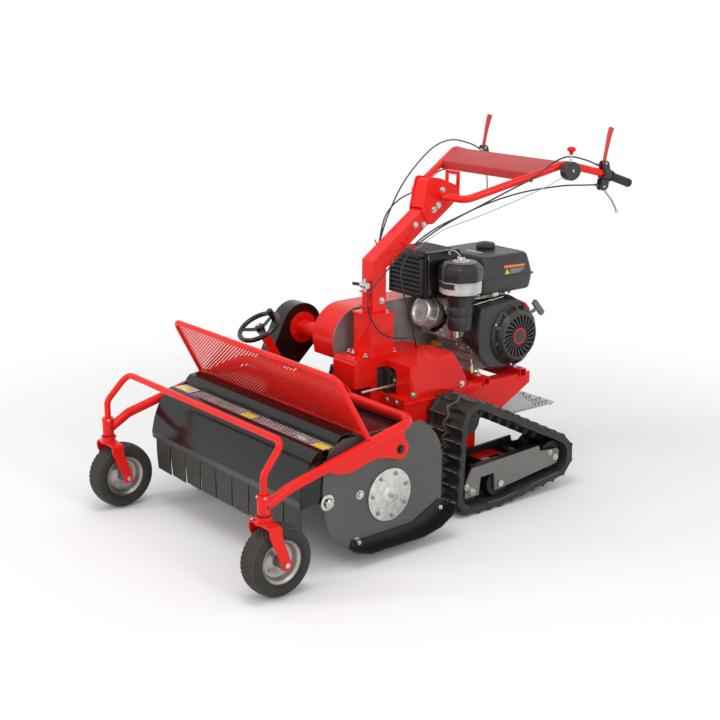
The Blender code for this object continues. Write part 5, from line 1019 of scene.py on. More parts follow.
form = bmesh.new()
for side, sign in SIDES:
    for x0, x1, y0, y1 in ((0.2155, 0.3525, 0.236, 0.276), (0.2155, 0.3525, 0.332, 0.348),
                           (0.2155, 0.262, 0.276, 0.332), (0.322, 0.3525, 0.276, 0.332)):
        low, high = sorted((sign * x0, sign * x1))
        cut_plate(form, rectangle(low, y0, high, y1), 0.148, 0.152, "z")
made(form, "frame_bridge", "machine", red_paint, "red_paint")
form = bmesh.new()
for side, sign in SIDES:
    for x0, x1 in ((0.334, 0.3602), (0.208, 0.22)):
        low, high = sorted((sign * x0, sign * x1))
        skin(form, [[(low, y, z), (high, y, z), (high, y, z + 0.0035), (low, y, z + 0.0035)]
                    for y, z in ((0.116, 0.168), (0.446, 0.1806))])
made(form, "frame_flanges", "machine", satin_black, "grey_paint", edge=0.001)


# Chassis, gearbox and covers: folded and welded steel, powder coated red. The
# engine stands on two open rails. Plated bolts hold the covers.

BELLOWS_X = 0.0625
BELLOWS_TOP = 0.48
softened("chassis_frame", "chassis", "machine", red_paint, 0.0012)
softened("gearbox_housing", "gearbox", "machine", red_paint, 0.004,
         without=lambda place: place.x > BELLOWS_X and place.z < BELLOWS_TOP)
for node, name, edge in (("drive_cover", "side_cover", 0.0055), ("belt_cover", "belt_arch", 0.0025),
                         ("shaft_housing", "shaft_tube", 0.0012), ("column_base", "column_box", 0.0022)):
    softened(node, name, "machine", red_paint, edge)
LOCK_FRONT = -0.0675
softened("upper_column", "column_tube", "column", red_paint, 0.003,
         zones=((zinc_plate, lambda place: place.y < LOCK_FRONT and place.z > 0.7645 and place.x > -0.013),
                (black_gloss, lambda place: place.y < LOCK_FRONT and place.z > 0.768 and place.x < -0.013)))
softened("height_adjuster", "wheel_bracket", "machine", red_paint, 0.001)
side_steel = steel_finish("side_steel", (0.33, 0.35, 0.34), 0.34, cloud=4.0, contrast=0.5, metallic=0.3)
softened("belt_cover_plate", "arch_plate", "machine", side_steel, 0.0006)
softened("deck_belt_guard", "deck_guard", "machine", black_gloss, 0.006)


def soft_outline(corners, radius, steps=5):
    """Closed outline with rounded corners."""
    corners = [Vector(corner) for corner in corners]
    result = []
    for index, corner in enumerate(corners):
        before = corners[index - 1] - corner
        after = corners[(index + 1) % len(corners)] - corner
        reach = min(radius, before.length * 0.48, after.length * 0.48)
        start = corner + before.normalized() * reach
        end = corner + after.normalized() * reach
        for step in range(steps + 1):
            share = step / steps
            result.append(start.lerp(corner, share).lerp(corner.lerp(end, share), share))
    return result


form = bmesh.new()
for y in (-0.012, 0.216):
    hex_bolt(form, (0.1903, y, 0.417), (1, 0, 0), 0.008, 0.0065)
for y in (0.335, 0.52):
    for x in (-0.15, 0.15):
        hex_bolt(form, (x, y, 0.421), (0, 0, 1), 0.0085, 0.007, stud=0.014)
for x, y in ((0.046, -0.11), (-0.02, -0.112), (0.046, 0.02), (-0.046, -0.11)):
    hex_bolt(form, (x, y, 0.5412), (0, 0, 1), 0.0068, 0.0055, stud=0.004)
for x in (0.1, 0.15):
    hex_bolt(form, (x, -0.056, 0.388), (0, -1, 0), 0.007, 0.0055)
lay_tube(form, [(0.105, -0.176, 0.4363), (0.105, -0.024, 0.4371)], 0.0048, 16)
lay_tube(form, rounded([(0.07, -0.02, 0.462), (0.086, -0.03, 0.47), (0.098, -0.028, 0.478)], 0.006, 5),
         0.003, 10)
cut_plate(form, soft_outline(rectangle(-0.028, 0.418, -0.01, 0.462), 0.004), 0.098, 0.101)
hex_bolt(form, (0.1012, -0.019, 0.45), (1, 0, 0), 0.0055, 0.004)
made(form, "chassis_bolts", "machine", zinc_plate, "bright_steel")
form = bmesh.new()
rings = []
for step in range(17):
    wide = 0.003 * (step % 2)
    x = 0.065 + step * 0.0029
    rings.append([(x, *point) for point in soft_outline(rectangle(-0.02 - wide, 0.396, 0.06, 0.488 + wide),
                                                        0.012, 4)])
skin(form, rings)
cut_plate(form, rectangle(-0.07, 0.416, -0.03, 0.49), 0.042, 0.0592)
cut_plate(form, rectangle(-0.043, 0.402, -0.02, 0.49), 0.056, 0.09)
made(form, "linkage_bellows", "machine", tyre_rubber, "rubber")
form = bmesh.new()
for side, sign in SIDES:
    low, high = sorted((sign * 0.1895, sign * 0.1978))
    cut_plate(form, rectangle(-0.05, 0.388, 0.3, 0.3915), low, high)
made(form, "beam_lips", "machine", red_paint, "red_paint", edge=0.0012)

form = bmesh.new()
hex_bolt(form, (0.0302, -0.0259, 0.7262), (1, 0, 0), 0.008, 0.0065, stud=0.004)
for y, z in ((0.1255, 0.9769), (0.1644, 0.9728)):
    hex_bolt(form, (0.0302, y, z), (1, 0, 0), 0.0078, 0.006)
hex_bolt(form, (0.006, -0.082, 0.7922), (0, 0, 1), 0.0085, 0.0065, stud=0.006)
made(form, "column_bolts", "column", zinc_plate, "bright_steel")


# Footplate: galvanised sheet, a grid of punched and raised holes with painted shade in them.

galvanised = steel_finish("galvanised", (0.5, 0.49, 0.5), 0.4, cloud=9.0, contrast=0.1, metallic=0.7)
form = bmesh.new()
cut_plate(form, soft_outline(rectangle(-0.17, 0.47, 0.17, 0.735), 0.022, 7), 0.2434, 0.246, "z")
cut_plate(form, rectangle(-0.148, 0.7305, 0.148, 0.7345), 0.229, 0.2434, "z")
for side, sign in SIDES:
    hanger = [(0.41, 0.33), (0.41, 0.2434), (0.64, 0.2434), (0.56, 0.3), (0.5, 0.355), (0.44, 0.355)]
    cut_plate(form, hanger, *sorted((sign * 0.15, sign * 0.156)))
cut_plate(form, rectangle(-0.156, 0.412, 0.156, 0.418), 0.3, 0.34, "z")
made(form, "step_plate", "machine", galvanised, "zinc_plate", ["footplate"], edge=0.0007)
form = bmesh.new()
# Painted shade: black discs fill the raised holes where their shaded insides would show.
hole_shade = bmesh.new()
for column in range(8):
    x = -0.1505 + column * 0.043
    for row in range(13):
        y = 0.484 + row * 0.019 + (0.0095 if column % 2 else 0.0)
        if y > 0.716:
            continue
        turn_about(form, [(0.005, 0.007), (0.0062, 0.0076), (0.0086, 0.0), (0.005, 0.0)], (x, y, 0.2459),
                   (0, 0, 1), 10)
        turn_about(hole_shade, [(0.0, 0.0066), (0.0048, 0.0066), (0.005, 0.0), (0.0, 0.0)], (x, y, 0.2459),
                   (0, 0, 1), 8)
made(form, "step_grips", "machine", galvanised, "zinc_plate")
made(hole_shade, "step_hole_shade", "machine", satin_black, "zinc_plate")


# Handlebar: folded head on the column, two bent tubes run as one and a shaped
# cover plate between them. Powder coated red.

HANDLE_HALF = [(0.06, 0.236, 1.07), (0.14, 0.261, 1.065), (0.285, 0.6, 1.179), (0.311, 0.782, 1.133),
               (0.316, 0.9078, 1.0898)]
form = bmesh.new()
handle_path = rounded([(-x, y, z) for x, y, z in HANDLE_HALF[::-1]] + HANDLE_HALF, 0.06, 12)
lay_tube(form, handle_path, 0.0135, 24)
made(form, "handle_tube", "handlebar", red_paint, "red_paint", ["handlebar"])

form = bmesh.new()
head = [(0.176, 1.134), (0.19, 1.14), (0.235, 1.132), (0.325, 1.097), (0.324, 1.059), (0.289, 1.029),
        (0.205, 0.972), (0.182, 0.972), (0.15, 1.024)]
for side, sign in SIDES:
    cut_plate(form, soft_outline(head, 0.01), *sorted((sign * 0.0303, sign * 0.0353)))
cap = rounded([(0, y, z) for y, z in ((0.155, 1.036), (0.181, 1.128), (0.192, 1.133), (0.233, 1.126),
                                      (0.258, 1.116))], 0.006, 3)
skin(form, [[(-0.0313, point.y, point.z), (0.0313, point.y, point.z),
             (0.0313, point.y + 0.0018, point.z - 0.0042),
             (-0.0313, point.y + 0.0018, point.z - 0.0042)] for point in cap])
made(form, "handle_head", "handlebar", red_paint, "red_paint", edge=0.001)

form = bmesh.new()
for x0, x1, z0, z1 in ((-0.036, -0.022, 1.06, 1.149), (0.022, 0.036, 1.06, 1.149),
                       (-0.022, 0.022, 1.136, 1.149), (-0.022, 0.022, 1.06, 1.076)):
    cut_plate(form, rectangle(x0, z0, x1, z1), 0.322, 0.328, "y")
made(form, "handle_loop", "handlebar", red_paint, "red_paint", edge=0.0008)

COVER_FRONT = 0.476
COVER_HALF = 0.2465
COVER_SPREAD = 0.262
COVER_SHEET = 0.0024
cover_red = paint_finish("cover_red", (0.48, 0.026, 0.023), (0.42, 0.021, 0.019), 0.34, specular=0.3)
form = bmesh.new()
fold = rounded([(0, y, z) for y, z in ((0.4762, 1.121), (0.4802, 1.1495), (0.6, 1.1893), (0.6055, 1.1685))],
               0.008, 4)
rings = []
for point, ahead in zip(fold, headings(fold)):
    inward = Vector((0, ahead.z, -ahead.y)) * COVER_SHEET
    half = COVER_HALF + (point.y - COVER_FRONT) * COVER_SPREAD
    rings.append([(x, point.y + inward.y * deep, point.z + inward.z * deep)
                  for x, deep in rectangle(-half, 0, half, 1)])
skin(form, rings)
made(form, "handle_cover", "handlebar", cover_red, "red_paint", crease=30)

form = bmesh.new()
for side, sign in SIDES:
    for y, z in ((0.2065, 1.0237), (0.2274, 1.0376), (0.245, 1.09)):
        hex_bolt(form, (sign * 0.0353, y, z), (sign, 0, 0), 0.008, 0.0065)
made(form, "head_bolts", "handlebar", zinc_plate, "bright_steel")


# Grips: moulded rubber with finger ribs and a wide end flange, pushed on the
# tubes' ends.

grip_rubber = rubber_finish("grip_rubber", (0.016, 0.016, 0.016), (0.034, 0.033, 0.031), 0.58)
CLAMP = Vector(HANDLE_HALF[3])
END = Vector(HANDLE_HALF[4])
for side, sign in SIDES:
    form = bmesh.new()
    line = (END - CLAMP).normalized()
    start = END - line * 0.106
    profile = [(0.0, 0.1118), (0.012, 0.1118), (0.0152, 0.1095), (0.016, 0.106), (0.0162, 0.101),
               (0.014, 0.099)]
    for step in range(36):
        height = 0.097 - step * 0.0024
        profile.append((0.01385 + 0.002 * abs(math.sin(math.pi * (height - 0.012) / 0.0145)), height))
    profile += [(0.015, 0.0085), (0.02, 0.007), (0.0204, 0.004), (0.0198, 0.0006), (0.0, 0.0006)]
    turn_about(form, profile, (sign * start.x, start.y, start.z), (sign * line.x, line.y, line.z), 32)
    made(form, "rubber_grip_" + side, "handlebar", grip_rubber, "rubber", ["grip_" + side])


# Control clamps: moulded black plastic collars round the tube, with a fork
# above for the clutch lever and one below for the brake lever.


def moulded_finish(name, colour, roughness, shades, cloud, gloss, relief, metallic=0.0, coat=0.0):
    """Moulded or cast surface: cloudy colour, uneven gloss and a fine relief."""
    finish, coating, start = new_finish(name, colour, roughness, metallic, coat)
    size, low, high = cloud
    link(tint(start, ramp(start, grain(start, size), low, high), *shades), coating, "Base Color")
    size, detail, span, least = gloss
    link(grain(start, size, detail) * span + least, coating, "Roughness")
    size, detail, depth = relief
    press(start, coating, grain(start, size, detail), depth)
    return finish


moulded_black = moulded_finish("moulded_black", (0.014, 0.014, 0.014), 0.42,
                               ((0.012, 0.012, 0.012), (0.022, 0.022, 0.021)), (16.0, 0.35, 0.7),
                               (30.0, 4.0, 0.16, 0.34), (700.0, 1.0, 0.00012), coat=0.05)
for side, sign in SIDES:
    form = bmesh.new()
    x = sign * CLAMP.x
    before = (CLAMP - Vector(HANDLE_HALF[2])).normalized()
    line = ((END - CLAMP).normalized() + before).normalized()
    line.x *= sign
    centre = Vector((x, CLAMP.y, CLAMP.z))
    turn_about(form, [(0.0142, 0.0165), (0.0205, 0.0165), (0.0225, 0.0145), (0.0225, 0.006), (0.0212, 0.005),
                      (0.0212, -0.005),
                      (0.0225, -0.006), (0.0225, -0.0145), (0.0205, -0.0165), (0.0142, -0.0165)], centre,
                      line, 36)
    for lean in (1, -1):
        top = soft_outline([(0.762, 1.147), (0.8, 1.14), (0.792, 1.172), (0.784, 1.18), (0.768, 1.18),
                            (0.762, 1.172)], 0.004)
        cut_plate(form, top, *sorted((x + lean * 0.0058, x + lean * 0.012)))
        foot = soft_outline([(0.758, 1.118), (0.796, 1.108), (0.792, 1.084), (0.778, 1.074), (0.762, 1.074),
                             (0.754, 1.084)], 0.004)
        cut_plate(form, foot, *sorted((x + lean * 0.0058, x + lean * 0.012)))
    made(form, "clamp_body_" + side, "handlebar", moulded_black, "black_plastic", ["control_clamp_" + side],
         edge=0.0008)
    form = bmesh.new()
    for y, z in ((0.776, 1.171), (0.77, 1.088)):
        turn_about(form, [(0.0, 0.0275), (0.0042, 0.0275), (0.005, 0.0262), (0.005, 0.025), (0.0034, 0.025),
                          (0.0034, 0.002), (0.0, 0.002)], (x - 0.0145, y, z), (1, 0, 0), 18)
    made(form, "lever_pins_" + side, "handlebar", zinc_plate, "bright_steel")


# Clutch levers: red plastic, narrow at the waist and flared at the top.
# Brake levers: bent bright steel with a ball end.

lever_red = moulded_finish("lever_red", (0.56, 0.022, 0.02), 0.34, ((0.5, 0.018, 0.016), (0.6, 0.03, 0.026)),
                           (22.0, 0.3, 0.7), (90.0, 4.0, 0.14, 0.27), (480.0, 1.0, 0.0001))
bright_steel = steel_finish("bright_steel", (0.62, 0.61, 0.58), 0.26, contrast=0.16)


def oval_bar(form, points, widths, depths, across=(1, 0, 0), sides=20):
    """Bar with an oval section that changes along it."""
    points = [Vector(point) for point in points]
    across = Vector(across)
    rings = []
    for point, ahead, width, depth in zip(points, headings(points), widths, depths):
        other = ahead.cross(across).normalized()
        side = other.cross(ahead)
        rings.append([point + side * math.cos(angle) * width + other * math.sin(angle) * depth
                      for angle in angles(sides)])
    skin(form, rings)


for side, sign in SIDES:
    x = sign * CLAMP.x
    form = bmesh.new()
    shape = [(0.776, 1.162, 0.004, 0.006), (0.776, 1.171, 0.0048, 0.0085), (0.778, 1.184, 0.0048, 0.0088),
             (0.781, 1.2, 0.0052, 0.008),
             (0.786, 1.222, 0.0064, 0.0078), (0.792, 1.25, 0.0078, 0.0088), (0.799, 1.276, 0.0088, 0.0098),
             (0.804, 1.2885, 0.0094, 0.0104),
             (0.8062, 1.2938, 0.0094, 0.0104), (0.8072, 1.2958, 0.0084, 0.0094),
             (0.8076, 1.2968, 0.006, 0.0066)]
    path = curve_points([(y, z, 0) for y, z, *_ in shape], 4)
    sizes = curve_points([(wide, deep, 0) for *_, wide, deep in shape], 4)
    oval_bar(form, [(x, point.x, point.y) for point in path], [size.x for size in sizes],
             [size.y for size in sizes])
    made(form, "red_lever_" + side, "clutch_lever_" + side, lever_red, "red_plastic",
         ["clutch_lever_" + side])
    form = bmesh.new()
    path = curve_points([(x, 0.764, 1.092), (x, 0.776, 1.085), (x, 0.794, 1.064),
                         (sign * 0.322, 0.812, 1.038),
                         (sign * 0.332, 0.8235, 1.01), (sign * 0.336, 0.828, 0.999)], 6)
    count = len(path)
    wide = [0.0036 + 0.0014 * math.sin(math.pi * index / (count - 1)) for index in range(count)]
    deep = [0.007 - 0.004 * min(1, index / 12) for index in range(count)]
    oval_bar(form, path, wide, deep)
    ball = [(0.0068 * math.sin(math.pi * step / 10), 0.0068 * math.cos(math.pi * step / 10))
            for step in range(11)]
    turn_about(form, ball, (sign * 0.3363, 0.8282, 0.9965), (0, 0, 1), 24)
    made(form, "steel_lever_" + side, "brake_lever_" + side, bright_steel, "bright_steel",
         ["brake_lever_" + side])


# Throttle: oval black box on the left tube, with a bright stem and a red
# mushroom knob on its lever.

form = bmesh.new()
oval = [(0.595 + 0.0395 * math.cos(angle) * (1 + 0.06 * math.cos(2 * angle)),
         1.158 + 0.0335 * math.sin(angle))
        for angle in [2 * math.pi * step / 48 for step in range(48)]]
cut_plate(form, oval, 0.3027, 0.3303)
made(form, "throttle_case", "handlebar", moulded_black, "black_plastic", ["throttle_box"], edge=0.0045)
form = bmesh.new()
turn_about(form, [(0.0, 0.0012), (0.0035, 0.001), (0.0052, 0.0004), (0.0054, -0.002), (0.0, -0.002)],
           (0.3303, 0.595, 1.16), (1, 0, 0), 20)
made(form, "throttle_screw", "handlebar", zinc_plate, "bright_steel")
form = bmesh.new()
turn_about(form, [(0.0, 0.06), (0.003, 0.06), (0.0034, 0.034), (0.0046, 0.033), (0.0046, 0.012), (0.0, 0.01)],
           (0.3165, 0.595, 1.158), (0, 0, 1), 16)
made(form, "throttle_stem", "throttle_lever", bright_steel, "bright_steel", ["throttle_lever"])
form = bmesh.new()
profile = [(0.0, 0.0278), (0.006, 0.0272), (0.0115, 0.025), (0.0152, 0.0215), (0.0163, 0.0175),
           (0.0148, 0.0138), (0.0105, 0.0112), (0.0078, 0.009), (0.007, 0.004), (0.0072, 0.0), (0.0, 0.0)]
turn_about(form, profile, (0.3165, 0.595, 1.216), (0, 0, 1), 32)
knob_red = paint_finish("knob_red", (0.66, 0.012, 0.01), (0.62, 0.01, 0.009), 0.22)
made(form, "throttle_knob", "throttle_lever", knob_red, "red_plastic")


# Control cables: black sheathed wires from the levers down to the hooks on
# the column and on to the gearbox and engine. Metal ends sit at the clamps.

LEFT_HOOK = (0.049, 0.094, 0.902)
RIGHT_HOOK = (-0.047, 0.022, 0.902)
CABLES = {
    "cables_left": ("handlebar", [
        [(0.302, 0.7604, 1.162), (0.3, 0.69, 1.188), (0.297, 0.604, 1.206), (0.29, 0.537, 1.19),
         (0.27, 0.466, 1.143),
         (0.2, 0.391, 1.086), (0.13, 0.292, 1.022), (0.09, 0.187, 0.975), (0.06, 0.122, 0.93), LEFT_HOOK],
        [(0.302, 0.754, 1.094), (0.308, 0.68, 1.1), (0.3, 0.563, 1.106), (0.24, 0.425, 1.087),
         (0.16, 0.31, 1.04), (0.1, 0.201, 0.978), (0.063, 0.126, 0.924), LEFT_HOOK]]),
    "cables_right": ("handlebar", [
        [(-0.302, 0.7604, 1.162), (-0.305, 0.692, 1.194), (-0.29, 0.577, 1.215), (-0.22, 0.412, 1.195),
         (-0.12, 0.204, 1.111), (-0.06, 0.075, 1.005), RIGHT_HOOK],
        [(-0.302, 0.754, 1.094), (-0.308, 0.668, 1.098), (-0.27, 0.51, 1.105), (-0.2, 0.356, 1.062),
         (-0.12, 0.181, 1.045), (-0.068, 0.069, 1.0), RIGHT_HOOK]]),
    "cables_lower": ("column", [
        [(0.048, 0.09, 0.893), (0.05, 0.058, 0.856), (0.055, 0.04, 0.813), (0.066, 0.046, 0.742),
         (0.066, 0.078, 0.654), (0.052, 0.12, 0.537)],
        [(0.048, 0.09, 0.893), (0.06, 0.03, 0.88), (0.062, -0.046, 0.825), (0.06, -0.11, 0.758),
         (0.066, -0.1, 0.674),
         (0.078, -0.05, 0.615), (0.092, 0.033, 0.594), (0.112, 0.099, 0.612), (0.122, 0.154, 0.63),
         (0.1087, 0.2107, 0.64)]])}
for node, (body, routes) in CABLES.items():
    form = bmesh.new()
    for route in routes:
        lay_tube(form, curve_points(route, 10), 0.0028, 10)
    made(form, node.replace("cables", "sheaths"), body, moulded_black, "rubber", [node])
form = bmesh.new()
for side, sign in SIDES:
    for y, z, lean in ((0.7475, 1.167, -0.25), (0.744, 1.0945, 0.0)):
        turn_about(form, [(0.0, 0.016), (0.004, 0.016), (0.004, 0.009), (0.0052, 0.008), (0.0052, 0.0),
                          (0.0, 0.0)],
                   (sign * 0.302, y, z), (0, 1, lean), 12)
made(form, "cable_ends", "handlebar", zinc_plate, "bright_steel")
form = bmesh.new()
lay_tube(form, curve_points([(0.316, 0.566, 1.142), (0.296, 0.5, 1.11), (0.24, 0.4, 1.06),
                             (0.16, 0.296, 1.004),
                             (0.1, 0.19, 0.96), (0.064, 0.116, 0.906), LEFT_HOOK], 10), 0.0014, 8)
made(form, "throttle_wire", "handlebar", side_steel, "rubber")


# Engine block: die-cast aluminium crankcase with an inclined cylinder, the
# carburettor's bowl and its rods.

cast_metal = moulded_finish("cast_metal", (0.48, 0.43, 0.385), 0.46,
                            ((0.34, 0.3, 0.265), (0.52, 0.465, 0.415)),
                            (12.0, 0.3, 0.7), (320.0, 3.0, 0.22, 0.36), (320.0, 3.0, 0.0004), metallic=0.2)
HEAD = Vector((0, 0.262, 0.618))
outward = Vector((0, -0.96, 0.28)).normalized()


def on_head(place):
    """True for the plain cap of the cylinder head, which the pressed cover stands for."""
    height = (place - HEAD).dot(outward)
    return height > 0.0125 and (place - HEAD - outward * height).length < 0.075


softened("engine_block", "crankcase", "machine", cast_metal, 0.003, 40, 40, without=on_head)

form = bmesh.new()
for z in (0.455, 0.487, 0.519, 0.551):
    cut_plate(form, soft_outline(rectangle(0.338, z, 0.3475, z + 0.006), 0.001, 2), -0.07, 0.096)
for x, z in ((0.02, 0.508), (0.08, 0.508), (-0.05, 0.52)):
    hex_bolt(form, (x, 0.345, z), (0, -1, 0.1), 0.0072, 0.006)
turn_about(form, [(0.0, 0.034), (0.015, 0.034), (0.0185, 0.03), (0.0185, 0.008), (0.021, 0.006),
                  (0.021, 0.0), (0.0, 0.0)],
           (0.086, 0.276, 0.59), (0, 0, -1), 32)
hex_bolt(form, (0.086, 0.276, 0.5562), (0, 0, -1), 0.006, 0.005)
lay_tube(form, curve_points([(0.06, 0.262, 0.622), (0.078, 0.25, 0.646), (0.104, 0.25, 0.66),
                             (0.126, 0.286, 0.664)], 8), 0.0022, 10)
lay_tube(form, curve_points([(0.05, 0.34, 0.664), (0.09, 0.33, 0.67), (0.12, 0.34, 0.676),
                             (0.14, 0.4, 0.69)], 8), 0.002, 10)
lay_tube(form, [(0.13, 0.405, 0.684), (0.13, 0.47, 0.69)], 0.003, 10)
made(form, "carburettor_parts", "machine", zinc_plate, "casting")


# Rocker cover: pressed and chromed eight-sided steel cap with a rim flange,
# held by one bolt in its middle over four studs.

chrome = steel_finish("chrome", (0.66, 0.66, 0.64), 0.26, cloud=20.0, contrast=0.16, metallic=0.55)


def corner_ring(centre, axis, across, radius, corner, count=8, twist=0.0, steps=4):
    """Many-sided ring with rounded corners round an axis."""
    centre = Vector(centre)
    axis = Vector(axis).normalized()
    side = Vector(across).normalized()
    other = axis.cross(side)
    outline = soft_outline([(radius * math.cos(2 * math.pi * (index + twist) / count),
                             radius * math.sin(2 * math.pi * (index + twist) / count))
                             for index in range(count)], corner, steps)
    return [centre + side * point.x + other * point.y for point in outline]


form = bmesh.new()
seat = Vector((-0.027, 0.256, 0.63))
rings = []
for height, radius, corner in ((-0.016, 0.056, 0.014), (0.013, 0.056, 0.014), (0.014, 0.0625, 0.012),
                               (0.0155, 0.064, 0.012),
                               (0.0175, 0.064, 0.012), (0.019, 0.0625, 0.012), (0.0195, 0.06, 0.012),
                               (0.0225, 0.059, 0.012),
                               (0.044, 0.058, 0.012), (0.0495, 0.056, 0.014), (0.0525, 0.051, 0.014),
                               (0.053, 0.044, 0.014), (0.0505, 0.039, 0.014), (0.0495, 0.02, 0.01)):
    rings.append(corner_ring(seat + outward * height, outward, (1, 0, 0), radius, corner, 8, 0.5))
skin(form, rings)
hex_bolt(form, seat + outward * 0.05, outward, 0.0056, 0.0038)
made(form, "rocker_cover", "machine", chrome, "bright_steel", crease=30)
form = bmesh.new()
for lean in (1, -1):
    for along in (-0.042, 0.042):
        hex_bolt(form, HEAD + Vector((lean * 0.05, 0,
                                      0)) + outward * 0.012 + outward.cross(Vector((1, 0, 0))) * along,
                                      outward,
                 0.0058, 0.005)
made(form, "head_studs", "machine", zinc_plate, "bright_steel")


# Oil plug: orange plastic in a cast neck. The plated drain fitting stands on a
# brass washer beside it.


def film_finish(name, colour, roughness, size, first, second):
    """Coloured plastic or film that is slightly uneven."""
    finish, coating, start = new_finish(name, colour, roughness)
    link(tint(start, grain(start, size), first, second), coating, "Base Color")
    return finish


oil_orange = film_finish("oil_orange", (0.9, 0.24, 0.015), 0.38, 60.0, (0.84, 0.21, 0.012),
                         (0.94, 0.27, 0.02))
form = bmesh.new()
pull = Vector((0, -0.03, 0.008)).normalized()
turn_about(form, [(0.0, 0.007), (0.011, 0.007), (0.0138, 0.005), (0.0138, 0.0), (0.0, 0.0)],
           (-0.0585, 0.308, 0.499), pull, 10)
cut_plate(form, [(0.29, 0.49), (0.302, 0.49), (0.304, 0.51), (0.293, 0.513)], -0.061, -0.056)
made(form, "oil_plug", "machine", oil_orange, "red_plastic")
form = bmesh.new()
turn_about(form, [(0.0, 0.0), (0.0125, 0.0), (0.013, -0.002), (0.0105, -0.004), (0.0105, -0.042),
                  (0.0, -0.042)], (-0.0585, 0.308, 0.499), pull, 24)
made(form, "oil_neck", "machine", cast_metal, "casting")
brass = steel_finish("brass", (0.62, 0.5, 0.16), 0.34, contrast=0.25)
form = bmesh.new()
turn_about(form, [(0.0, 0.012), (0.0115, 0.012), (0.0125, 0.01), (0.0125, 0.0), (0.0, 0.0)],
           (0.1186, 0.329, 0.4225), (0, 0, 1), 8)
made(form, "drain_washer", "machine", brass, "bright_steel")
form = bmesh.new()
turn_about(form, [(0.0, 0.04), (0.0052, 0.04), (0.006, 0.036), (0.006, 0.024), (0.0105, 0.022),
                  (0.0105, 0.008), (0.0115, 0.006),
                  (0.0115, 0.0), (0.0, 0.0)], (0.1186, 0.329, 0.4345), (0, -0.05, 1), 16)
made(form, "drain_fitting", "machine", zinc_plate, "bright_steel")


# Fan shroud: moulded black plastic over the flywheel. The round starter cover
# on it has vents round its rim and swirled slots over a near-black disc of painted shade.

CRANK = (0.488, 0.552)
SHROUD_FAR = 0.102
SHROUD_FACE = 0.168
shell_black = moulded_finish("shell_black", (0.026, 0.025, 0.023), 0.4,
                             ((0.024, 0.023, 0.021), (0.034, 0.033, 0.031)), (6.0, 0.3, 0.7),
                             (26.0, 4.0, 0.14, 0.32), (900.0, 1.0, 0.0001))
form = bmesh.new()
outline = soft_outline([(0.336, 0.665), (0.35, 0.688), (0.52, 0.69), (0.575, 0.655), (0.602, 0.6),
                        (0.605, 0.52),
                        (0.585, 0.46), (0.545, 0.43), (0.45, 0.426), (0.415, 0.436), (0.298, 0.548),
                        (0.302, 0.582), (0.338, 0.6)], 0.022, 6)
face_outline = soft_outline([(0.322, 0.672), (0.52, 0.683), (0.572, 0.652), (0.598, 0.598), (0.601, 0.522),
                             (0.582, 0.463), (0.543, 0.432), (0.45, 0.428), (0.366, 0.437), (0.318, 0.492),
                             (0.314, 0.56)], 0.022, 6)
rings = []
for x, share, inset in ((SHROUD_FAR, 0.0, 0.0), (SHROUD_FAR + 0.01, 0.05, 0.0),
                        (SHROUD_FACE - 0.018, 0.8, 0.0), (SHROUD_FACE - 0.01, 0.93, 0.0015),
                        (SHROUD_FACE - 0.004, 1.0, 0.0045), (SHROUD_FACE - 0.001, 1.0, 0.0095),
                        (SHROUD_FACE, 1.0, 0.0145)):
    ring = []
    for point, near in zip(outline, face_outline):
        place = point.lerp(near, share)
        ring.append((x, *(place + (Vector((0.47, 0.555)) - place).normalized() * inset)))
    rings.append(ring)
skin(form, rings)
made(form, "shroud", "machine", shell_black, "black_plastic", ["fan_shroud"])

form = bmesh.new()
rings = []
around = 336
for step in range(around):
    angle = 360 * step / around
    place = (angle + 9) % 34.0
    dip = 0.0 if place > 26 or 34 < angle < 70 else 0.0115 - (0.0045 if place % 6.5 < 1.2 else 0.0)
    profile = [(0.114, -0.004), (0.1138, 0.004), (0.1115, 0.0075), (0.109, 0.0095), (0.108, 0.011 - dip),
               (0.096, 0.0195 - dip),
               (0.095, 0.02), (0.0935, 0.0225), (0.0885, 0.03), (0.0865, 0.0335), (0.0835, 0.036),
               (0.08, 0.0368), (0.0775, 0.0362), (0.076, 0.029)]
    reach = Vector((math.cos(math.radians(angle)), math.sin(math.radians(angle))))
    rings.append([(SHROUD_FACE + height, *(Vector(CRANK) + reach * radius)) for radius, height in profile])
skin(form, rings, closed_ring=False, closed_run=True, caps=False)
SLOTS = 24
for index in range(SLOTS):
    blade = []
    for edge in (0.0, 0.44):
        run = []
        for step in range(7):
            radius = 0.03 + (0.0785 - 0.03) * step / 6
            angle = 2 * math.pi * (index + edge) / SLOTS + 0.3 * step / 6
            run.append((CRANK[0] + radius * math.cos(angle), CRANK[1] + radius * math.sin(angle)))
        blade += run if not edge else run[::-1]
    cut_plate(form, blade, SHROUD_FACE + 0.0305, SHROUD_FACE + 0.035)
turn_about(form, [(0.0, 0.0362), (0.026, 0.0362), (0.031, 0.035), (0.033, 0.032), (0.033, 0.029),
                  (0.0, 0.029)],
           (SHROUD_FACE, *CRANK), (1, 0, 0), 56)
made(form, "starter_cover", "machine", shell_black, "black_plastic", crease=30)
# Painted shade: a near-black disc behind the slots stands for the shaded inside of the cover.
inside_shade_black = rubber_finish("inside_shade_black", (0.006, 0.006, 0.006), (0.01, 0.01, 0.01), 0.75)
form = bmesh.new()
turn_about(form, [(0.0, 0.0262), (0.078, 0.0262), (0.08, 0.02), (0.08, 0.001), (0.0, 0.001)],
           (SHROUD_FACE, *CRANK), (1, 0, 0), 48)
made(form, "starter_inside_shade", "machine", inside_shade_black, "black_plastic")
badge_red = paint_finish("badge_red", (0.62, 0.02, 0.022), (0.56, 0.016, 0.018), 0.3)
form = bmesh.new()
turn_about(form, [(0.0245, 0.0368), (0.0295, 0.0368), (0.031, 0.0358), (0.031, 0.034), (0.0245, 0.034)],
           (SHROUD_FACE, *CRANK), (1, 0, 0), 56)
made(form, "badge_ring", "machine", badge_red, "red_plastic")
form = bmesh.new()
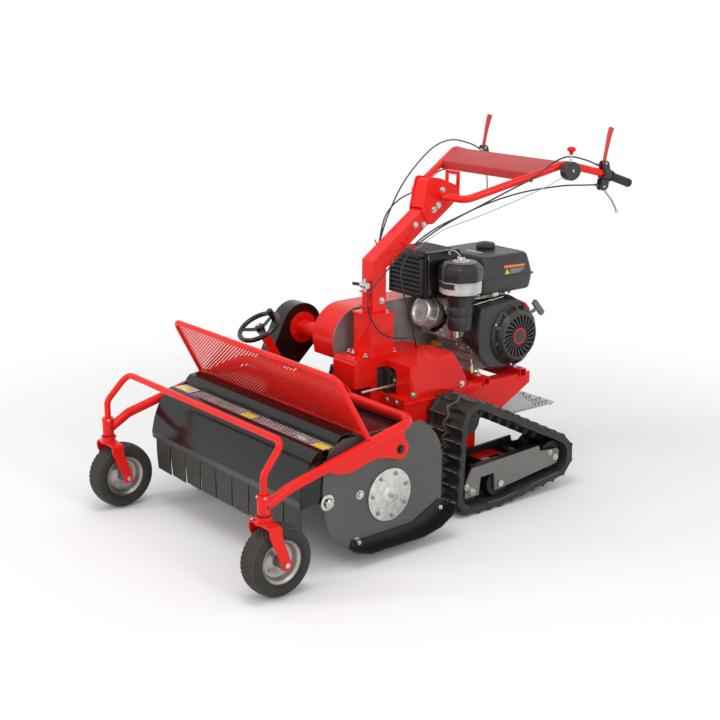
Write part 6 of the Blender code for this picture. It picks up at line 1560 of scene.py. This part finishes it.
cut_plate(form, soft_outline([(0.53, 0.66), (0.538, 0.668), (0.562, 0.642), (0.553, 0.634)], 0.003), 0.15,
          0.178)
made(form, "stop_switch", "machine", badge_red, "red_plastic", edge=0.0015)
form = bmesh.new()
for angle in (152, 262, 332):
    place = Vector(CRANK) + Vector((math.cos(math.radians(angle)), math.sin(math.radians(angle)))) * 0.1095
    hex_bolt(form, (SHROUD_FACE + 0.0075, *place), (1, 0, 0), 0.0056, 0.004, washer=False)
made(form, "shroud_screws", "machine", zinc_plate, "bright_steel")


# Starter handle: grey moulded T on the end of its rope, which goes into the
# shroud.

handle_grey = rubber_finish("handle_grey", (0.13, 0.128, 0.12), (0.19, 0.185, 0.175), 0.5)
form = bmesh.new()
pull = Vector((0, 0.937, 0.35)).normalized()
start_at = Vector((0.188, 0.538, 0.621))
lay_tube(form, [start_at + pull * 0.002, start_at + pull * 0.052], 0.0026, 12)
turn_about(form, [(0.0028, 0.052), (0.006, 0.05), (0.0072, 0.036), (0.006, 0.026), (0.0028, 0.024)],
           start_at, pull, 16)
bar = Vector((0, 0.66, -0.75)).normalized()
reach = Vector((0, 0.75, 0.66)).normalized()
middle = start_at + pull * 0.06
grip = [middle + bar * along + reach * off
        for along, off in ((-0.035, -0.0108), (0.035, -0.0108), (0.035, 0.0108), (-0.035, 0.0108))]
cut_plate(form, soft_outline([(point.y, point.z) for point in grip], 0.005), 0.181, 0.195)
made(form, "starter_handle", "recoil_handle", handle_grey, "black_plastic", ["recoil_handle"], edge=0.0025)


# Fuel tank: two black shells joined in a flange, with sloping ends above it
# and a ribbed screw cap.

form = bmesh.new()
levels = ((0.7062, -0.124, 0.13, 0.364, 0.596, 0.018), (0.7085, -0.128, 0.134, 0.36, 0.6, 0.02),
          (0.714, -0.131, 0.138, 0.357, 0.603, 0.022),
          (0.738, -0.133, 0.1415, 0.3545, 0.607, 0.022), (0.7608, -0.134, 0.143, 0.354, 0.609, 0.022),
          (0.7612, -0.135, 0.145, 0.3525, 0.6175, 0.022),
          (0.7662, -0.135, 0.145, 0.3525, 0.6175, 0.022), (0.7666, -0.134, 0.1425, 0.354, 0.6095, 0.022),
          (0.79, -0.1325, 0.141, 0.356, 0.604, 0.022),
          (0.818, -0.1295, 0.1385, 0.36, 0.5945, 0.022), (0.832, -0.1275, 0.137, 0.3625, 0.59, 0.022),
          (0.8395, -0.125, 0.1345, 0.3655, 0.5865, 0.024),
          (0.8435, -0.1215, 0.1305, 0.3695, 0.582, 0.026), (0.8455, -0.115, 0.124, 0.3765, 0.5745, 0.026),
          (0.846, -0.108, 0.117, 0.384, 0.567, 0.026))
rings = []
for z, x0, x1, y0, y1, corner in levels:
    rings.append([(*point, z) for point in soft_outline(rectangle(x0, y0, x1, y1), corner, 7)])
skin(form, rings)
for index in range(4):
    x = -0.01 + index * 0.034
    oval_bar(form, [(x, y, 0.8455) for y in (0.548, 0.552, 0.572, 0.576)], (0.003, 0.0075, 0.0075, 0.003),
             (0.0006, 0.0016, 0.0016, 0.0006))
turn_about(form, [(0.0, 0.8462), (0.0375, 0.8462), (0.0395, 0.8458), (0.0405, 0.8445), (0.0405, 0.84),
                  (0.0, 0.84)], (0, 0.5, 0),
           (0, 0, 1), 48)
made(form, "tank", "machine", shell_black, "black_plastic", ["fuel_tank"])

form = bmesh.new()
rings = []
for angle in angles(144):
    grip = 0.0011 * (1 + math.cos(18 * angle)) / 2
    profile = [(0.0, 0.0245), (0.013, 0.0245), (0.015, 0.023), (0.026, 0.0228), (0.0305, 0.0215),
               (0.0338 - grip * 0.5, 0.019),
               (0.0358 - grip, 0.015), (0.036 - grip, 0.005), (0.0345 - grip * 0.5, 0.002), (0.033, 0.0004),
               (0.0, 0.0004)]
    reach = Vector((math.cos(angle), math.sin(angle)))
    rings.append([(reach.x * max(radius, NEEDLE), 0.5 + reach.y * max(radius, NEEDLE), 0.846 + height)
                  for radius, height in profile])
skin(form, rings, closed_ring=False, closed_run=True)
made(form, "tank_cap", "fuel_cap", moulded_black, "black_plastic", ["fuel_cap"])


# Labels and small parts by the tank: plain colour films on its near side and
# top, a pale wire connector and the governor's bright arm.

orange_film = film_finish("orange_film", (0.86, 0.2, 0.015), 0.4, 120.0, (0.8, 0.18, 0.012),
                          (0.9, 0.23, 0.02))
grey_film = film_finish("grey_film", (0.2, 0.2, 0.2), 0.45, 260.0, (0.15, 0.15, 0.15), (0.24, 0.24, 0.24))
yellow_print = film_finish("yellow_print", (0.8, 0.56, 0.02), 0.4, 120.0, (0.76, 0.52, 0.018),
                           (0.84, 0.6, 0.03))
cream_film = film_finish("cream_film", (0.62, 0.56, 0.44), 0.45, 90.0, (0.56, 0.5, 0.39), (0.66, 0.6, 0.48))


def near_side(height):
    """How far out the tank's near side is at a height."""
    return 0.141 + (height - 0.79) * (0.1385 - 0.141) / (0.818 - 0.79)


for name, finish, corners in (
        ("orange_strip", orange_film, [(0.46, 0.7985), (0.566, 0.7945), (0.566, 0.803), (0.46, 0.8075)]),
        ("yellow_mark", yellow_print, [(0.462, 0.776), (0.486, 0.775), (0.4742, 0.7945), (0.4738, 0.7945)]),
        ("grey_patch", grey_film, [(0.489, 0.775), (0.53, 0.7735), (0.563, 0.785), (0.563, 0.79),
                                   (0.489, 0.793)])):
    form = bmesh.new()
    skin(form, [[(near_side(z) + depth, y, z) for y, z in corners] for depth in (-0.0004, 0.0005)])
    made(form, name, "machine", finish, "black_plastic")
form = bmesh.new()
cut_plate(form, rectangle(-0.022, 0.417, 0.06, 0.43), 0.8457, 0.8464, "z")
made(form, "top_label", "machine", cream_film, "black_plastic")
form = bmesh.new()
cut_plate(form, soft_outline(rectangle(0.409, 0.7, 0.437, 0.712), 0.002), 0.12, 0.14)
made(form, "wire_connector", "machine", cream_film, "black_plastic", edge=0.0012)
form = bmesh.new()
cut_plate(form, soft_outline([(0.345, 0.696), (0.43, 0.6915), (0.446, 0.6935), (0.446, 0.7), (0.43, 0.701),
                              (0.345, 0.704)], 0.003), 0.119, 0.1215)
for y, z in ((0.376, 0.6995), (0.437, 0.6965)):
    hex_bolt(form, (0.1215, y, z), (1, 0, 0), 0.0042, 0.004)
lay_tube(form, curve_points([(0.124, 0.33, 0.699), (0.126, 0.36, 0.702), (0.126, 0.4, 0.696),
                             (0.124, 0.47, 0.701)], 6), 0.0016, 8)
for y in (0.494, 0.522):
    cut_plate(form, [(y, 0.688), (y + 0.012, 0.688), (y + 0.014, 0.7075), (y - 0.002, 0.7075)], 0.1, 0.103)
    hex_bolt(form, (0.103, y + 0.006, 0.699), (1, 0, 0), 0.0046, 0.004)
made(form, "governor_arm", "machine", rim_silver, "bright_steel")


# Muffler guard: black pressed steel with louvres in front, a perforated top
# and a smooth heat shield towards the air cleaner.

form = bmesh.new()
rings = []
for z, inset in ((0.7003, 0.006), (0.703, 0.002), (0.708, 0.0), (0.856, -0.001), (0.864, 0.002),
                 (0.8685, 0.007), (0.8698, 0.013)):
    slant = (z - 0.7) / 0.17
    x0, x1 = -0.16 + 0.012 * slant + inset, 0.036 - 0.012 * slant - inset
    y0, y1 = 0.172 + 0.006 * slant + inset, 0.34 - 0.006 * slant - inset
    rings.append([(*point, z) for point in soft_outline(rectangle(x0, y0, x1, y1), 0.01, 4)])
skin(form, rings)
made(form, "muffler_box", "machine", satin_black, "black_paint", ["muffler_guard"])
form = bmesh.new()
for index in range(8):
    z = 0.716 + index * 0.0168
    rings = [[(x, 0.1735, z + 0.0105), (x, 0.1655, z + 0.002), (x, 0.1648, z - 0.001),
              (x, 0.1665, z - 0.001), (x, 0.1745, z + 0.008)]
             for x in (-0.151, 0.012)]
    skin(form, rings)
for x0, x1 in ((-0.157, -0.149), (0.01, 0.03)):
    cut_plate(form, rectangle(x0, 0.708, x1, 0.856), 0.165, 0.174, "y")
for z0, z1 in ((0.7045, 0.7125), (0.85, 0.861)):
    cut_plate(form, rectangle(-0.157, z0, 0.03, z1), 0.165, 0.174, "y")
for index in range(10):
    z = 0.722 + index * 0.0135
    for y0, y1 in ((0.185, 0.225), (0.235, 0.275)):
        rings = [[(-0.1565, y, z + 0.006), (-0.1598, y, z + 0.001), (-0.159, y, z - 0.001),
                  (-0.1555, y, z + 0.003)] for y in (y0, y1)]
        skin(form, rings)
for row in range(9):
    for column in range(14):
        x = -0.138 + column * 0.0114 + (0.0057 if row % 2 else 0.0)
        turn_about(form, [(0.0024, 0.0004), (0.0036, 0.0008), (0.0046, -0.0002), (0.0024, -0.0002)],
                   (x, 0.192 + row * 0.0158, 0.8699), (0, 0, 1), 8)
made(form, "muffler_louvres", "machine", satin_black, "black_paint", crease=30)

form = bmesh.new()
rings = []
for y, bulge in ((0.182, 0.0), (0.19, 0.004), (0.215, 0.008), (0.26, 0.01), (0.31, 0.01), (0.336, 0.008)):
    rings.append([(0.02, y, 0.712), (0.0375 + bulge, y, 0.716), (0.0385 + bulge, y, 0.76),
                  (0.0365 + bulge, y, 0.838),
                  (0.033 + bulge, y, 0.858), (0.025 + bulge, y, 0.868), (0.015 + bulge, y, 0.87),
                  (0.01, y, 0.869)])
skin(form, rings)
made(form, "heat_shield", "machine", black_gloss, "black_paint", crease=50, edge=0.0015)
form = bmesh.new()
lay_tube(form, curve_points([(0.046, 0.276, 0.86), (0.05, 0.276, 0.869), (0.074, 0.272, 0.8745),
                             (0.104, 0.263, 0.871), (0.126, 0.256, 0.86)], 8), 0.0022, 10)
turn_about(form, [(0.0, 0.012), (0.0032, 0.012), (0.004, 0.01), (0.004, 0.0), (0.0, 0.0)],
           (0.046, 0.276, 0.856), (0, 0, 1), 12)
grey_plastic = rubber_finish("grey_plastic", (0.5, 0.5, 0.48), (0.6, 0.6, 0.58), 0.45)
made(form, "guard_lever", "machine", grey_plastic, "bright_steel")


# Air cleaner: black lower body, a milky plastic ring with a dark window and a
# flat-topped eight-sided lid held by a disc and a wing nut.

AIR = Vector((0.13, 0.255, 0))
form = bmesh.new()
turn_about(form, [(0.0, 0.7385), (0.062, 0.7385), (0.059, 0.735), (0.049, 0.7265), (0.0455, 0.715),
                  (0.045, 0.692), (0.0442, 0.6905),
                  (0.0442, 0.684), (0.0452, 0.6825), (0.0452, 0.656), (0.0436, 0.654), (0.0436, 0.648),
                  (0.0444, 0.6465), (0.044, 0.612), (0.042, 0.601), (0.0, 0.6005)], AIR, (0, 0, 1), 48)
made(form, "cleaner_body", "machine", moulded_black, "black_plastic", ["air_cleaner"])


def stacked(levels, name, finish, slot, crease=38):
    """Eight-sided moulding round the air cleaner's axis."""
    form = bmesh.new()
    skin(form, [corner_ring(AIR + Vector((0, 0, z)), (0, 0, 1), (1, 0, 0), radius, corner, 8, 0.0, 5)
                for z, radius, corner in levels])
    made(form, name, "machine", finish, slot, crease=crease)


milky, coating, start = new_finish("milky", (0.52, 0.52, 0.505), 0.36)
clouds = grain(start, 34.0)
link(tint(start, ramp(start, clouds, 0.35, 0.65), (0.43, 0.43, 0.415), (0.58, 0.58, 0.565)), coating,
     "Base Color")
stacked(((0.735, 0.075, 0.018), (0.737, 0.078, 0.018), (0.78, 0.0795, 0.018), (0.7825, 0.0785, 0.018)),
        "cleaner_band", milky, "black_plastic")
lid_black = paint_finish("lid_black", (0.016, 0.0155, 0.015), (0.012, 0.012, 0.011), 0.24, specular=0.45)
stacked(((0.7815, 0.08, 0.012), (0.783, 0.0828, 0.012), (0.8035, 0.0832, 0.012), (0.8045, 0.0848, 0.012),
         (0.8105, 0.0848, 0.012),
         (0.8115, 0.0832, 0.012), (0.827, 0.0822, 0.012), (0.829, 0.0812, 0.014), (0.83, 0.08, 0.014),
         (0.843, 0.0665, 0.014),
         (0.8445, 0.0645, 0.014), (0.8462, 0.061, 0.014), (0.8465, 0.05, 0.012)), "cleaner_lid", lid_black,
         "black_plastic", 20)
form = bmesh.new()
turn_about(form, [(0.0, 0.8515), (0.012, 0.8515), (0.015, 0.8505), (0.029, 0.8498), (0.0312, 0.8485),
                  (0.0312, 0.8458), (0.0, 0.8458)], AIR, (0, 0, 1), 40)
for lean in (1, -1):
    wing = [AIR + Vector((lean * reach * 0.8, lean * reach * 0.6, z))
            for reach, z in ((0.002, 0.8555), (0.008, 0.858), (0.0135, 0.861))]
    oval_bar(form, wing, (0.0035, 0.004, 0.003), (0.0014, 0.0012, 0.001), across=(0, 0, 1), sides=10)
turn_about(form, [(0.0, 0.862), (0.0028, 0.862), (0.0032, 0.8605), (0.0048, 0.8595), (0.006, 0.8555),
                  (0.007, 0.8515), (0.0, 0.8515)], AIR, (0, 0, 1), 16)
made(form, "wing_nut", "machine", zinc_plate, "bright_steel")
for name, finish, low, high, first, last, depth in (("window_frame", rim_silver, 0.757, 0.78, -128, -58,
                                                     0.0002),
                                                    ("window_pane", moulded_black, 0.7575, 0.7765, -128, -61,
                                                     0.0012)):
    form = bmesh.new()
    outer = []
    for step in range(15):
        angle = math.radians(first + (last - first) * step / 14)
        flat = 0.0795 * math.cos(math.pi / 8) / math.cos((angle % (math.pi / 4)) - math.pi / 8)
        outer.append((math.cos(angle), math.sin(angle), min(flat, 0.0782)))
    ring = [(cosine * (reach + depth), sine * (reach + depth)) for cosine, sine, reach in outer]
    ring += [(cosine * (reach - 0.004), sine * (reach - 0.004)) for cosine, sine, reach in outer[::-1]]
    skin(form, [[(AIR.x + x, AIR.y + y, z) for x, y in ring] for z in (low, high)])
    made(form, name, "machine", finish, "black_plastic")


# Handwheel: black moulded rim with a grooved underside on three spokes, a hub
# on the lift screw and an upright crank grip.

ADJUSTER = Vector((-0.37, -0.27, 0.59))
SCREW = Vector((0, -0.5, 0.866)).normalized()
WHEEL_RADIUS = 0.077
RIM_THICK = 0.0092
wheel_black = paint_finish("wheel_black", (0.01, 0.01, 0.01), (0.008, 0.008, 0.008), 0.2, specular=0.5)
form = bmesh.new()
side_way = Vector((1, 0, 0))
up_way = SCREW.cross(side_way)
rings = []
for angle in angles(120):
    reach = side_way * math.cos(angle) + up_way * math.sin(angle)
    ring = []
    for turn in range(16):
        lean = 2 * math.pi * turn / 16
        groove = 0.001 * (1 + math.cos(30 * angle)) / 2 if math.sin(lean) < -0.2 else 0.0
        thick = RIM_THICK - groove
        ring.append(ADJUSTER + reach * (WHEEL_RADIUS + thick * math.cos(lean))
                    + SCREW * thick * math.sin(lean))
    rings.append(ring)
skin(form, rings, closed_run=True)
for index in range(3):
    angle = math.radians(90 + 120 * index)
    reach = side_way * math.cos(angle) + up_way * math.sin(angle)
    around_way = SCREW.cross(reach)
    spoke = [ADJUSTER + reach * distance + SCREW * lift
             for distance, lift in ((0.008, -0.009), (0.03, -0.0075), (0.055, -0.003), (0.0745, 0.0))]
    oval_bar(form, spoke, (0.011, 0.0095, 0.0085, 0.0085), (0.005, 0.0044, 0.0042, 0.0042),
             across=tuple(around_way), sides=14)
turn_about(form, [(0.0, 0.006), (0.013, 0.006), (0.016, 0.004), (0.0168, 0.0), (0.0168, -0.015),
                  (0.015, -0.0218), (0.0, -0.0218)], ADJUSTER, SCREW, 36)
crank = side_way * math.cos(math.radians(30)) + up_way * math.sin(math.radians(30))
turn_about(form, [(0.0, 0.068), (0.008, 0.0672), (0.0114, 0.064), (0.012, 0.059), (0.0108, 0.046),
                  (0.009, 0.03), (0.0086, 0.02), (0.0096, 0.017),
                  (0.009, 0.016), (0.0038, 0.0155), (0.0038, 0.0), (0.0, 0.0)], ADJUSTER + crank * 0.074,
                  SCREW, 28)
made(form, "hand_wheel", "handwheel", wheel_black, "black_paint", ["handwheel"])
form = bmesh.new()
turn_about(form, rectangle(0.0, -0.0215, 0.0079, -0.0745), ADJUSTER, SCREW, 24)
hex_bolt(form, ADJUSTER + SCREW * 0.0055, SCREW, 0.0062, 0.004, washer=False)
made(form, "lift_screw", "handwheel", zinc_plate, "bright_steel")
